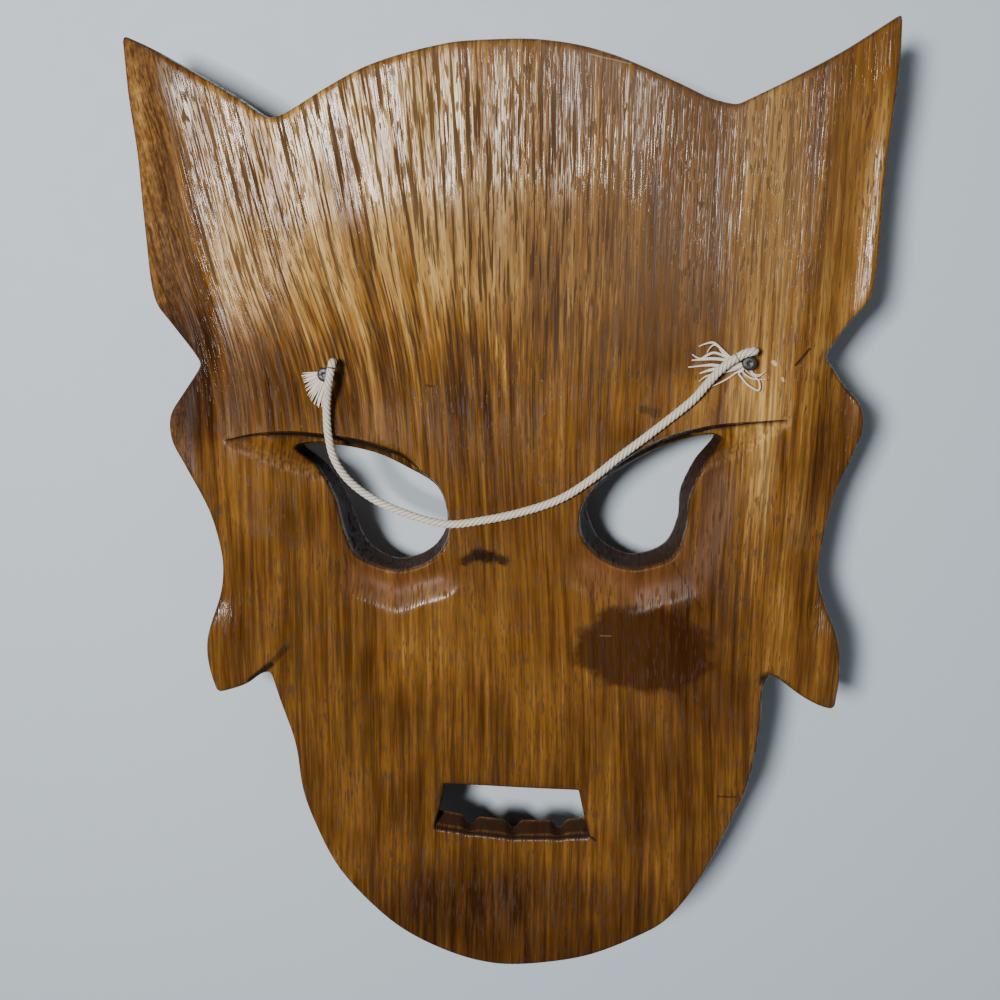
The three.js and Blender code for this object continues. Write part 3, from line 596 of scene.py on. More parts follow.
def joined_sheet(rings, inner, creases):
    """Triangles between the rings, through the inner points and along the creases. The holes stay open."""
    points = np.concatenate([*rings, inner])
    edges = []
    ring_number = np.full(len(points), -1)
    start = 0
    for number, ring in enumerate(rings):
        count = len(ring)
        edges += [(start + i, start + (i + 1) % count) for i in range(count)]
        ring_number[start:start + count] = number
        start += count
    corners = [Vector(point) for point in points.tolist()]
    made = geometry.delaunay_2d_cdt(corners, edges + list(creases), [], 1, 1e-6, True)
    origins = np.array([ids[0] if ids else -1 for ids in made[3]])
    if (origins < 0).any():
        raise RuntimeError("lines of the mask's surface cross each other")
    triangles = origins[np.array(made[2])]
    owners = ring_number[triangles]
    middles = points[triangles].mean(axis=1)
    open_side = np.zeros(len(triangles), bool)
    for number, ring in enumerate(rings):
        suspects = np.flatnonzero((owners == number).all(axis=1))
        within = inside_ring(middles[suspects], ring)
        open_side[suspects] = ~within if number == 0 else within
    return points, triangles[~open_side]


def wall_faces(rows, outward):
    """Triangles between rows of point numbers, each row going round. Outward walls face away from the
    middle."""
    upper, lower = rows[:-1], rows[1:]
    next_upper, next_lower = np.roll(upper, -1, axis=1), np.roll(lower, -1, axis=1)
    first = np.stack([lower, next_lower, next_upper], axis=-1).reshape(-1, 3)
    second = np.stack([lower, next_upper, upper], axis=-1).reshape(-1, 3)
    faces = np.concatenate([first, second])
    return faces if outward else faces[:, ::-1]


def crease_lines():
    """The upper line and the bottom of each brow cut, as rows of close points."""
    lines = []
    for stations in (LEFT_BROW_CUT, RIGHT_BROW_CUT):
        places, uppers, _, _, runs = (np.array(column, float) for column in zip(*stations))
        for lowered in (0, 1):
            line = curve_through(np.stack([places, uppers - lowered * runs], axis=1), 16)
            lines.append(evenly(line, CREASE_STEP)[1:-1])
    return lines


def mask_sheet(outline, height, step, insets, creases):
    """One face of the mask: its points and triangles, each point's distances to the rings, and the numbers
    of points on the rings, which come first."""
    rings = [outline] + [rim_of(hole, count, height) for hole, count in zip(HOLES, HOLE_COUNTS)]
    inner, gaps, crease_edges = sheet_points(rings, insets, step, creases)
    points, triangles = joined_sheet(rings, inner, crease_edges)
    counts = [len(ring) for ring in rings]
    owners = np.repeat(np.arange(len(rings)), counts)
    own_gaps = np.stack([distance_to(points[:sum(counts)], ring) for ring in rings], axis=1)
    own_gaps[np.arange(len(owners)), owners] = 0
    return points, triangles, np.concatenate([own_gaps, gaps]), counts


def edge_fall(gaps, radii):
    """How far the rounded edges of all rings fall at each point, added up."""
    return sum(rounded(gaps[:, column], radius) for column, radius in enumerate(radii))


def mask_surface(shape):
    """The whole mask: a back sheet and a front sheet joined by the walls of the outline and of the holes."""
    outline = outline_ring(OUTLINE_STEP)
    back, back_faces, back_gaps, counts = mask_sheet(
        outline, back_height, shape.back_step / MM, BACK_INSETS, crease_lines()
    )
    front, front_faces, front_gaps, _ = mask_sheet(
        outline, front_height, shape.front_step / MM, FRONT_INSETS, []
    )
    eye_edges = [shape.eye_edge / MM] * 2
    x, y = front.T
    front_z = front_height(x, y) + front_grooves(x, y) * smooth(front_gaps.min(axis=1) / 3)
    front_z = front_z + edge_fall(front_gaps, [shape.front_edge / MM, *eye_edges, shape.eye_edge / MM])
    x, y = back.T
    cut, steep, brim = brow_cut(x, y)
    back_z = back_height(x, y) - cut + waviness(x, y, shape.waviness / MM, shape.flutes / MM)
    mouth_edge = mix(shape.mouth_edge / MM, shape.mouth_top / MM, smooth((y - MOUTH_MIDDLE) / 5))
    back_z = back_z - edge_fall(back_gaps, [shape.back_edge / MM, *eye_edges, mouth_edge])

    vertices = [np.column_stack([back, back_z]), np.column_stack([front, front_z])]
    # Painted shade: the brow cuts' steep walls and the mouth's lower rim get the carved layer, which the
    # wood's finish paints near black.
    painted_mouth_rim_shade = smooth(1.0 - back_gaps[:, 3] / 1.3) * smooth((-98 - y) / 3)
    mouth_strip = 0.6 * smooth(1 - back_gaps[:, 3] / 3.5) * smooth((y + 94) / 4)
    carved = [np.maximum(steep * smooth(cut / 1.2), painted_mouth_rim_shade), np.zeros(len(front))]
    faces = [back_faces, front_faces[:, ::-1] + len(back)]
    total = len(back) + len(front)
    start = 0
    for number, (wall, count) in enumerate(zip([lambda levels: outline, *HOLES], counts)):
        ring = np.arange(start, start + count)
        layers = OUTLINE_LAYERS if number == 0 else HOLE_LAYERS
        rows = [ring]
        for layer in range(1, layers):
            level = mix(back_z[ring], front_z[ring], layer / layers)
            vertices.append(np.column_stack([wall(level), level]))
            # The holes' walls get painted shade, near black, fading in below the back's rim; the outline's
            # wall gets none.
            carved.append(np.full(count, 0.0 if number == 0 else 1.0) * smooth(layer / 3))
            rows.append(np.arange(total, total + count))
            total += count
        rows.append(ring + len(back))
        faces.append(wall_faces(np.array(rows), outward=number == 0))
        start += count
    vertices = np.concatenate(vertices)
    rest = np.zeros(total - len(back))
    matte = region(*vertices[:, :2].T, MATTE_REGION, fade=0.7)
    layers = {
        # carved: where shade is painted near black on the walls of the holes and cuts and on the mouth's rim
        "carved": np.concatenate(carved),
        "scooped": np.concatenate([np.maximum(scoop(x, y) * inside_face(x, y), mouth_strip), rest]),
        "matte": np.maximum(matte, np.concatenate([brim, rest])),
        # from_edge: distance from the outline, 0 on all walls; it places the painted shade along the edge.
        "from_edge": np.concatenate([back_gaps[:, 0], front_gaps[:, 0], rest[len(front):]]),
        **wood_regions(*vertices[:, :2].T),
    }
    return vertices, np.concatenate(faces), layers


def wood_regions(x, y):
    """What varies slowly over the wood, as layers: its tone, which also holds a painted highlight and painted
    sheen on the crown, how bold its grain is, where a greyer colour is painted as sheen at the upper right,
    how far the grain strays sideways in millimetres, and the distance from the stain's middle, 1 on its edge."""
    tone = np.full(len(x), BASE_TONE)
    for ellipse, amount in TONE_AND_HIGHLIGHT_REGIONS:
        tone = tone + amount * region(x, y, ellipse, 1.45)
    bolder = [amount * region(x, y, ellipse) for ellipse, amount in BOLD_REGIONS]
    rise = smooth((y - 30) / 60) * (y - 30)
    stray = 0.17 * smooth((10 - x) / 85) * rise
    stray = stray + 1.6 * np.sin(y / 52 + x / 37) + 0.4 * np.sin(y / 23 + x / 21)
    return {
        "tone": tone,
        "bold": 0.25 + np.max(bolder, axis=0),
        "grey": region(x, y, SHEEN_GREY_REGION),
        "stray": stray,
        "stained": from_middle(x, y, STAIN),
    }


def near_marks(points):
    """True for places near a mark or the stain: only these carry the material that draws them."""
    near = from_middle(points[:, 0], points[:, 1], STAIN) < 1.5
    for start, end, half, _ in DARK_MARKS + PALE_MARKS:
        near |= along_line(points[:, 0], points[:, 1], [start, end])[1] < 1.6 * half + 1.5
    return near & (points[:, 2] > 20)


def make_piece(name, vertices, faces, replaced, layers=None, uv=None):
    """A mesh object from whole arrays of millimetres, riding on the part's one body in a CAD node's
    place."""
    mesh = bpy.data.meshes.new(name)
    placed = np.asarray(vertices) * STRETCH * MM
    mesh.from_pydata(placed.tolist(), [], np.asarray(faces).tolist())
    for layer, values in (layers or {}).items():
        mesh.attributes.new(layer, "FLOAT", "POINT").data.foreach_set("value", np.asarray(values, np.float32))
    if uv is not None:
        corners = np.zeros(len(mesh.loops), np.int32)
        mesh.loops.foreach_get("vertex_index", corners)
        spots = np.asarray(uv)[corners].astype(np.float32).ravel()
        mesh.uv_layers.new(name="strands").data.foreach_set("uv", spots)
    mesh.shade_smooth()
    mesh.validate()
    piece = bpy.data.objects.new(name, mesh)
    bpy.context.scene.collection.objects.link(piece)
    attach(piece, "root")
    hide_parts(*replaced)
    return piece


def across_line(line):
    """Two unit directions across a lying line: sideways and upwards."""
    along = np.gradient(line, axis=-2)
    along = along / np.linalg.norm(along, axis=-1, keepdims=True)
    side = np.cross(along, [0.0, 0.0, 1.0])
    side = side / np.maximum(np.linalg.norm(side, axis=-1, keepdims=True), 1e-9)
    return side, np.cross(side, along)


def tubes(lines, radii, around, lobes=None):
    """Closed tubes around many lines of equally many points. The point at angle a of ring i lies at the
    radius of that ring times lobes(a, i) across the line. Each end closes in one point."""
    count, rings = lines.shape[:2]
    angle = 2 * np.pi * np.arange(around) / around
    side, up = across_line(lines)
    reach = np.broadcast_to(radii, (count, rings))[..., None] * np.ones(around)
    if lobes is not None:
        reach = reach * lobes
    outwards = np.cos(angle)[:, None] * side[:, :, None] + np.sin(angle)[:, None] * up[:, :, None]
    body = (lines[:, :, None] + reach[..., None] * outwards).reshape(-1, 3)
    ends = lines[:, [0, -1]].reshape(-1, 3)
    ids = np.arange(count * rings * around).reshape(count, rings, around)
    near, far = ids[:, :-1], ids[:, 1:]
    quads = np.stack([near, np.roll(near, -1, axis=2), np.roll(far, -1, axis=2), far], axis=-1).reshape(-1, 4)
    faces = np.concatenate([quads[:, [0, 1, 2]], quads[:, [0, 2, 3]]])
    poles = len(body) + np.arange(2 * count).reshape(count, 2)
    first, last = ids[:, 0], ids[:, -1]
    start = np.stack([np.broadcast_to(poles[:, :1], first.shape), np.roll(first, -1, axis=1), first], axis=-1)
    finish = np.stack([np.broadcast_to(poles[:, 1:], last.shape), last, np.roll(last, -1, axis=1)], axis=-1)
    faces = np.concatenate([faces, start.reshape(-1, 3), finish.reshape(-1, 3)])
    return np.concatenate([body, ends]), faces[:, ::-1]


def on_back(route, diameter):
    """Points of a route lying on the back: the third number raises or lowers the middle line."""
    x, y, raised = np.array(route, float).T
    return np.column_stack([x, y, back_height(x, y) + LYING_GAP + diameter / 2 + raised])


def rope(route, cord, tapers=(0, 0)):
    """A rope along a route: its strands are round lobes that turn once in each lay length around the middle
    line."""
    line = evenly(curve_through(route, 16), ROPE_STEP)
    lengths = line_lengths(line)
    angle = 2 * np.pi * np.arange(ROPE_AROUND) / ROPE_AROUND
    turned = angle[None] + cord.twist * 2 * np.pi * lengths[:, None] / (cord.lay / MM)
    lobe = np.abs(np.cos(0.5 * cord.strands * turned)) ** 0.75
    shape = 1 - cord.groove * (1 - lobe)
    radius = np.full(len(line), CORD_DIAMETER / 2)
    for end, taper in enumerate(tapers):
        from_end = lengths if end == 0 else lengths[-1] - lengths
        if taper:
            radius = radius * mix(0.55, 1, smooth(from_end / taper))
    vertices, faces = tubes(line[None], radius[None], ROPE_AROUND, shape[None])
    groove = np.concatenate([lobe.ravel(), [1, 1]])
    strand = np.concatenate([(turned % (2 * np.pi / cord.strands)).ravel(), [0, 0]])
    down = np.concatenate([np.repeat(lengths, ROPE_AROUND), [0, lengths[-1]]])
    return vertices, faces, groove, np.column_stack([strand, down]), line


def strands(paths, diameters, per_span=5):
    """Loose strands: a thin round tube with a thinner tip along each path."""
    made = []
    for path, diameter in zip(paths, diameters):
        line = curve_through(path, per_span)
        share = np.linspace(0, 1, len(line))
        radius = diameter / 2 * mix(1, 0.45, smooth((share - 0.6) / 0.4))
        made.append(tubes(line[None], radius[None], 7))
    return made


def merged(parts):
    """One set of vertices and faces from several."""
    starts = np.cumsum([0] + [len(vertices) for vertices, _ in parts[:-1]])
    vertices = np.concatenate([vertices for vertices, _ in parts])
    return vertices, np.concatenate([faces + start for start, (_, faces) in zip(starts, parts)])


def fan_paths(cord):
    """The left end's neat brush: strands side by side from under the nail head's lower left edge to the
    tips."""
    rng = np.random.default_rng(FAN_SEED)
    share = np.linspace(0, 1, cord.fan_strands)
    paths = []
    for place in share:
        ends = []
        for line in (LEFT_FAN_BASE, LEFT_FAN_TIPS):
            places = np.linspace(0, 1, len(line))
            ends.append([np.interp(place, places, column) for column in np.transpose(line)])
        base, tip = np.array(ends)
        tip = tip + rng.uniform(-FAN_SPREAD, FAN_SPREAD, 2)
        steps = np.linspace(0, 1, 5)[:, None]
        sideways = np.array([tip[1] - base[1], base[0] - tip[0]])
        bend = rng.uniform(-0.25, 0.25) * np.sin(np.pi * steps) * sideways / 8
        rise = mix(0.55, 0.05, smooth(steps * 1.2)) + rng.uniform(0, 0.5)
        paths.append(on_back(np.column_stack([mix(base, tip, steps) + bend, rise]), 0.45))
    return paths, rng.uniform(0.42, 0.62, cord.fan_strands)


KNOT_ROOT, KNOT_EDGE = (72.7, 56.2, 0.2), (72.9, 55.6, 0.2)
RIGHT_FRAYS = [
    (KNOT_ROOT, [(70.3, 56.4, 0.4), (67.1, 58.4, 0.2), (64.6, 60.7, 0.5), (62.5, 62.3, 0.3),
                 (60.4, 62.0, 0.1), (58.3, 61.1, 0)], 0.75),
    (KNOT_ROOT, [(69.6, 56.6, 0.4), (65.3, 59.3, 0.3), (64.0, 61.1, 0.6), (62.8, 61.7, 0.4),
                 (61.6, 60.8, 0.1), (60.8, 59.3, 0)], 0.6),
    (KNOT_ROOT, [(69.2, 56.2, 0.4), (66.2, 58.1, 0.2), (62.9, 59.3, 0.3), (61.1, 58.7, 0.1),
                 (59.1, 57.4, 0), (57.8, 57.8, 0.1), (56.5, 58.7, 0.2)], 0.8),
    (KNOT_ROOT, [(69.6, 56, 0.5), (65.9, 57.2, 0.1), (62.0, 57.5, 0), (59.4, 57.2, 0),
                 (56.4, 56.9, 0)], 1.0),
    (KNOT_ROOT, [(69.2, 55.4, 0.5), (65.0, 55.4, 0.1), (62.4, 55.6, 0), (60.0, 55.4, 0),
                 (55.5, 54.8, 0.1)], 0.95),
    (KNOT_ROOT, [(69, 55, 0.4), (63.7, 54.5, 0.1), (61.3, 53.9, 0), (58.9, 53.0, 0)], 1.05),
    (KNOT_ROOT, [(69, 54.4, 0.4), (63.6, 52.9, 0.1), (60.7, 52.1, 0), (58.7, 50.5, 0)], 0.6),
    (KNOT_ROOT, [(71.6, 55, 0.6), (69.9, 53.8, 0.2), (67.3, 51.8, 0.1), (64.7, 50.2, 0),
                 (62.4, 49.0, 0)], 0.55),
    (KNOT_ROOT, [(71.4, 54.6, 0.8), (70.2, 53.2, 0.3), (71.0, 52.1, 0.2), (72.4, 50.4, 0.5),
                 (74.4, 48.9, 0.5), (76.1, 48.2, 0.2), (76.5, 49.0, 0.2), (76.0, 51.2, 0.4),
                 (75.0, 52.2, 0.5), (73.4, 53.2, 0.5), (72.0, 54.4, 0.3)], 0.62),
    (KNOT_ROOT, [(71.1, 54.2, 0.6), (73.3, 52.1, 0.3), (75.7, 51.5, 0.2), (78.4, 51.5, 0.1)], 0.6),
    (KNOT_EDGE, [(73.8, 53.6, 0.4), (75.7, 52.4, 0.1), (77.2, 53.0, 0)], 0.5),
    (KNOT_EDGE, [(74.6, 53.2, 0.3), (76.4, 52.9, 0.1), (78.2, 54.0, 0)], 0.4),
]


def lathe(profile, around):
    """A closed turned solid: each (radius, height) of the profile goes round the upright axis, between two
    poles."""
    radius, height = np.array(profile[1:-1], float).T
    angle = 2 * np.pi * np.arange(around) / around
    x = radius[:, None] * np.cos(angle)
    y = radius[:, None] * np.sin(angle)
    body = np.stack([x, y, np.broadcast_to(height[:, None], x.shape)], axis=-1).reshape(-1, 3)
    vertices = np.concatenate([body, [[0, 0, profile[0][1]], [0, 0, profile[-1][1]]]])
    ids = np.arange(len(body)).reshape(len(radius), around)
    walls = wall_faces(ids[::-1], outward=True)
    first, last = ids[0], ids[-1]
    pole = len(body)
    under = np.stack([np.full(around, pole), np.roll(first, -1), first], axis=-1)
    over = np.stack([np.full(around, pole + 1), last, np.roll(last, -1)], axis=-1)
    return vertices, np.concatenate([walls, under, over])


def nail_profile():
    """A hammered nail from its point to its head: the head has a soft edge and a small dimple with a raised
    ring."""
    head = NAIL_HEAD_DIAMETER / 2
    shank = 0.9
    under = NAIL_HEAD_LIFT
    body = [(0, -11.0), (0.25, -10.7), (shank, -9.2), (shank, under - 0.2), (1.15, under)]
    rim = [(head - 0.15, under), (head, under + 0.18), (head, under + 0.5), (head - 0.12, under + 0.78),
           (head - 0.4, under + 0.95)]
    face = [(1.35, under + 1.06), (1.05, under + 1.1), (0.85, under + 1.1), (0.68, under + 0.98),
            (0.4, under + 0.86), (0.15, under + 0.84), (0, under + 0.84)]
    return body + rim + face


def arithmetic(operation, turned=False):
    """A method of Wire that adds a Math node for itself and another value, or the other way round if
    turned."""

    def method(self, other):
        return self.maths(operation, *((other, self) if turned else (self, other)))

    return method


class Wire:
    """One output of a shader node. Arithmetic on it adds Math nodes: above gives the larger of two values,
    and below the smaller."""

    def __init__(self, finish, socket):
        self.finish = finish
        self.socket = socket

    def maths(self, operation, *values):
        return self.finish.node("ShaderNodeMath", {"operation": operation}, dict(enumerate(values)))

    __add__ = arithmetic("ADD")
    __sub__ = arithmetic("SUBTRACT")
    __rsub__ = arithmetic("SUBTRACT", turned=True)
    __mul__ = arithmetic("MULTIPLY")
    __truediv__ = arithmetic("DIVIDE")
    __pow__ = arithmetic("POWER")
    above = arithmetic("MAXIMUM")
    below = arithmetic("MINIMUM")

    def step(self, low, high):
        """0 up to low, 1 from high, and a smoothstep between. high may be under low, to turn it round."""
        settings = {"interpolation_type": "SMOOTHSTEP"}
        return self.finish.node("ShaderNodeMapRange", settings, {0: self, 1: low, 2: high, 3: 0.0, 4: 1.0})


class Finish:
    """A material made of nodes. Wires run between them."""

    def __init__(self, name):
        self.material = bpy.data.materials.new(name)
        self.material.use_nodes = True
        self.tree = self.material.node_tree
        self.tree.nodes.clear()
        self.shader = self.tree.nodes.new("ShaderNodeBsdfPrincipled")
        output = self.tree.nodes.new("ShaderNodeOutputMaterial")
        self.tree.links.new(self.shader.outputs[0], output.inputs[0])

    def node(self, kind, settings=None, values=None, output=0):
        """A node of a kind: settings are put on it first, with stops for a ramp, then its sockets get
        values or wires, and the wire from one output is given back."""
        made = self.tree.nodes.new(kind)
        for name, value in (settings or {}).items():
            if name == "stops":
                ramp = made.color_ramp.elements
                while len(ramp) < len(value):
                    ramp.new(0.5)
                for element, (place, colour) in zip(ramp, value):
                    element.position = place
                    element.color = (*colour, 1)
            else:
                setattr(made, name, value)
        for key, value in (values or {}).items():
            if isinstance(value, Wire):
                self.tree.links.new(value.socket, made.inputs[key])
            else:
                made.inputs[key].default_value = value
        return Wire(self, made.outputs[output])

    def set(self, **values):
        """Values or wires for the shader's own sockets, named with _ for a space."""
        for name, value in values.items():
            socket = self.shader.inputs[name.replace("_", " ")]
            if isinstance(value, Wire):
                self.tree.links.new(value.socket, socket)
            else:
                socket.default_value = value

    def object_place(self):
        """X, Y and Z of the surface in millimetres."""
        place = self.node("ShaderNodeTexCoord", output="Object")
        return [
            self.node("ShaderNodeSeparateXYZ", values={0: place}, output=axis) / MM for axis in range(3)
        ]

    def attribute(self, name):
        return self.node("ShaderNodeAttribute", {"attribute_name": name}, output="Fac")

    def noise(self, x, y, z, detail=2.0, roughness=0.5):
        """Noise about 0.5 at a place whose coordinates are already divided by the sizes of its grains."""
        place = self.node("ShaderNodeCombineXYZ", values={0: x, 1: y, 2: z})
        return self.node(
            "ShaderNodeTexNoise", {"noise_dimensions": "3D"},
            {"Vector": place, "Scale": 1.0, "Detail": detail, "Roughness": roughness},
        )

    def blend(self, share, first, second):
        """The colour a share of the way from the first to the second."""
        return self.node(
            "ShaderNodeMix", {"data_type": "RGBA"}, {0: share, 6: first, 7: second}, output=2
        )

    def relief(self, height, distance):
        """A normal from a height of 0 to 1 and the distance in metres that it stands for."""
        values = {"Height": height, "Distance": distance, "Strength": 1.0}
        return self.node("ShaderNodeBump", values=values, output="Normal")


def streak(x, y, start, end, half):
    """1 on a straight mark from start to end and 0 past its half width."""
    (ax, ay), (bx, by) = start, end
    square = (bx - ax) ** 2 + (by - ay) ** 2
    share = (((x - ax) * (bx - ax) + (y - ay) * (by - ay)) / square).above(0.0).below(1.0)
    dx = x - (share * (bx - ax) + ax)
    dy = y - (share * (by - ay) + ay)
    return ((dx * dx + dy * dy) ** 0.5).step(half, 0.3 * half)


# Regions of the wood as ellipses (x, y, half x, half y), and how much paler or darker each is. The region at
# (-80, 85) is a painted highlight on the left horn's inner ridge, and the one at (-22, 116) is paler wood
# with painted sheen at the top of the crown.
BASE_TONE = 0.35
TONE_AND_HIGHLIGHT_REGIONS = [
    ((-35, 106, 76, 44), 0.32), ((38, 105, 46, 44), -0.07), ((77, 86, 11, 62), 0.33),
    ((81, 5, 7, 55), 0.17), ((-98, 88, 11, 50), -0.24), ((-108, 95, 3.5, 50), 0.10),
    ((98, 92, 9, 42), 0.18), ((107, 92, 3.5, 52), 0.16), ((62, 42, 26, 10), 0.12),
    ((-70, 25, 22, 12), 0.08), ((-27, -32, 24, 20), 0.05), ((66, -36, 15, 32), -0.10),
    ((0, -100, 95, 42), -0.02), ((-5, -140, 62, 22), -0.17), ((-85, -30, 12, 26), -0.05),
    ((88, -38, 10, 26), 0.03), ((-22, 116, 20, 30), 0.12), ((-80, 85, 8, 18), 0.16),
    ((0, -30, 20, 30), 0.03), ((-92, 52, 15, 20), -0.12), ((-99, 8, 6, 40), -0.10),
    ((101, 38, 7, 22), -0.08),
]
# Where the grain is bolder and by how much, where the varnish is dull and mottled, and where a greyer colour
# is painted as sheen
BOLD_REGIONS = [((-30, 95, 72, 58), 0.75), ((79, 70, 14, 75), 0.45)]
MATTE_REGION = (-109, 85, 10, 75)
SHEEN_GREY_REGION = (38, 110, 56, 46)
# Marks on the back: (start, end, half width, strength). Most are cracks, chips and dark spots of the wood;
# the lines at each ear's notch and at the mouth's right corner are painted shade of cuts that the surface
# doesn't carve.
DARK_MARKS = [
    ((-13.6, -8.2), (-9.8, -6.2), 2.4, 0.9), ((-9.8, -6.2), (-5.2, -6.6), 3.1, 1.0),
    ((-5.2, -6.6), (-1.0, -7.9), 2.3, 0.9), ((-84.8, -48.8), (-77.6, -42.6), 1.7, 1.0),
    ((-77.6, -42.6), (-72.5, -37.0), 1.5, 0.6), ((86.8, 55.6), (90.7, 60.4), 0.55, 0.9),
    ((52.6, -7.2), (62.3, -22.4), 0.6, 0.35), ((82.6, -44.3), (88.5, -47.3), 3.2, 1.0),
    ((88.5, -48.3), (95.4, -54.9), 1.6, 0.9), ((101.5, -54.5), (105.5, -55.8), 1.6, 1.0),
    ((36.2, -148.4), (44.0, -142.6), 1.7, 1.0), ((61.4, -127.2), (65.6, -119.4), 1.2, 1.0),
    ((69.3, -85.8), (74.9, -85.7), 0.5, 0.7), ((42.5, 41.4), (46.5, 40.2), 2.2, 0.55),
    ((-24.6, 48.6), (-22.4, 48.2), 0.6, 0.6), ((26.0, -104.2), (29.4, -106.2), 0.8, 0.9),
]
PALE_MARKS = [
    ((80.3, 56.6), (80.8, 55.8), 0.8, 0.9), ((83.1, 51.6), (83.4, 51.0), 0.6, 0.8),
    ((30.2, -33.3), (33.7, -33.5), 0.3, 0.14), ((24.5, 143.5), (36.6, 140.6), 0.25, 0.22),
    ((27.5, 144.3), (33.0, 142.9), 0.2, 0.2),
]
STAIN = (44, -37.5, 22.5, 15.5)


def marks(x, y, list_of_marks, ragged):
    """The strongest of a list of marks, with ragged edges."""
    found = [
        streak(x + ragged * half, y + ragged * half, start, end, half) * strength
        for start, end, half, strength in list_of_marks
    ]
    return reduce(Wire.above, found)


def wood_finish(name, wood, marked):
    """Varnished brown wood: bands and fibres run along Y, with dark pores between them. Shade is painted near
    black on the walls of the holes and cuts and on the mouth's lower rim, and darker along the outline's
    rounded edge and on the walls, together with the dark stain of the sides. A greyer colour is painted as
    sheen at the upper right.
    The marks lie on the back, and only the marked material draws them; some of them paint the shade of
    uncarved cuts."""
    finish = Finish(name)
    x, y, z = finish.object_place()
    across = x + finish.attribute("stray")
    into = z * 0.2
    tone = finish.attribute("tone")
    bold = finish.attribute("bold")

    bands = finish.noise(across / 11, y / 150, into / 11, 3.0, 0.55)
    stripes = finish.noise(across / 1.9, y / 60, into / 1.9, 3.0, 0.6)
    fibres = finish.noise(across / 0.62, y / 18, into / 0.62, 2.0, 0.6)
    long_pores = finish.noise(across / 0.75, y / 24, into / 0.75, 2.0, 0.5)
    short_pores = finish.noise(across / 0.6, y / 5.5, into / 0.6, 1.0, 0.5)
    clouds = finish.noise(x / 17, y / 24, z / 17, 3.0, 0.55)
    ragged = finish.noise(x / 1.7, y / 1.7, z / 1.7, 3.0) - 0.5
    patches = finish.noise(x / 8, y / 20, z / 8, 2.0, 0.5) - 0.5
    mottle = finish.noise(x / 1.1, y / 2.4, z / 1.1, 3.0, 0.6) - 0.5
    matte = finish.attribute("matte")

    grain = (bands - 0.5) * 0.7 + (stripes - 0.5) * 1.3 + (fibres - 0.5) * 0.7
    grain = grain * (bold * 0.6 + 0.4) * (1.0 - matte * 0.6)
    shade = tone + grain + (clouds - 0.5) * 0.36 + mottle * matte * 0.8
    stops = [
        (0.05, wood.darkest), (0.28, wood.dark), (0.5, wood.middle), (0.7, wood.light), (0.95, wood.palest)
    ]
    colour = finish.node("ShaderNodeValToRGB", {"stops": stops}, {0: shade})
    # Painted sheen: a greyer colour at the upper right.
    colour = finish.blend(finish.attribute("grey") * 0.5, colour, (*wood.grey, 1))
    pores = (long_pores.step(0.54, 0.6) * (bold * 1.2 - 0.25)).above(
        short_pores.step(0.55, 0.64) * (clouds.step(0.3, 0.65) * 0.5 + 0.25)
    )
    colour = finish.blend(pores * 0.85, colour, (*wood.pore, 1))

    scooped = finish.attribute("scooped")
    dull = scooped.step(0.0, 0.3)
    colour = finish.blend(scooped * 0.5, colour, (*wood.red, 1))
    # Painted shade: near black on the walls of the holes and cuts and on the mouth's lower rim.
    carved = finish.attribute("carved")
    colour = finish.blend(carved * 0.95, colour, (*wood.carved, 1))
    # Painted shade along the outline's rounded edge and on all the walls, together with the dark stain of the
    # mask's sides.
    shade_and_dark_sides = (finish.attribute("from_edge") + ragged * 1.4).step(1.1, 0.0)
    colour = finish.blend(shade_and_dark_sides * 0.75, colour, (*wood.edge, 1))
    if marked:
        back_side = z.step(17.0, 22.0)
        uneven = finish.noise(x / 6, y / 6, z / 6, 2.0) - 0.5
        stain = (finish.attribute("stained") + ragged * 0.08 + uneven * 0.5).step(1.09, 0.85) * back_side
        colour = finish.blend(stain * 0.82, colour, (*wood.stain, 1))
        # Dark marks, and painted shade of the uncarved cuts at the ears' notches and the mouth's right
        # corner.
        dark = marks(x, y, DARK_MARKS, ragged) * back_side
        colour = finish.blend(dark * 0.93, colour, (*wood.marks_and_cut_shade, 1))
        pale = marks(x, y, PALE_MARKS, ragged) * back_side
        colour = finish.blend(pale, colour, (*wood.chip, 1))

    height = ((fibres - 0.5) * 0.45 + (stripes - 0.5) * 0.9 - pores * 0.25) * (1.0 - dull * 0.8) + 0.6
    rough = pores * 0.65 + (stripes - 0.5) * 0.2 + patches * 0.45 + carved * 0.45 + dull * 0.3
    rough = rough + matte * 0.5 + wood.roughness
    finish.set(
        Base_Color=colour,
        Roughness=rough.above(0.12),
        Normal=finish.relief(height, wood.relief),
        Specular_IOR_Level=wood.gloss,
    )
    return finish.material


def cotton_finish(cord):
    """Unbleached cotton: fine fibres run along each strand, and the grooves between the strands get painted
    shade."""
    finish = Finish("cotton")
    spot = finish.node("ShaderNodeUVMap", {"uv_map": "strands"})
    turn = finish.node("ShaderNodeSeparateXYZ", values={0: spot}, output=0)
    down = finish.node("ShaderNodeSeparateXYZ", values={0: spot}, output=1)
    x, y, z = finish.object_place()
    groove = finish.attribute("lobe")
    fibres = finish.noise(turn * 5.5, down / 2.6, 0.0, 3.0, 0.65)
    fuzz = finish.noise(x / 0.35, y / 0.35, z / 0.35, 3.0, 0.7)
    # Painted shade in the grooves between the strands.
    colour = finish.blend(groove.step(0.1, 0.8), (*cord.shade, 1), (*cord.colour, 1))
    colour = finish.blend(fibres.step(0.55, 0.75) * 0.35, colour, (*cord.shade, 1))
    finish.set(
        Base_Color=colour,
        Roughness=0.92,
        Normal=finish.relief(fibres * 0.6 + fuzz * 0.4, 0.0002),
        Sheen_Weight=0.25,
        Specular_IOR_Level=0.25,
    )
    return finish.material


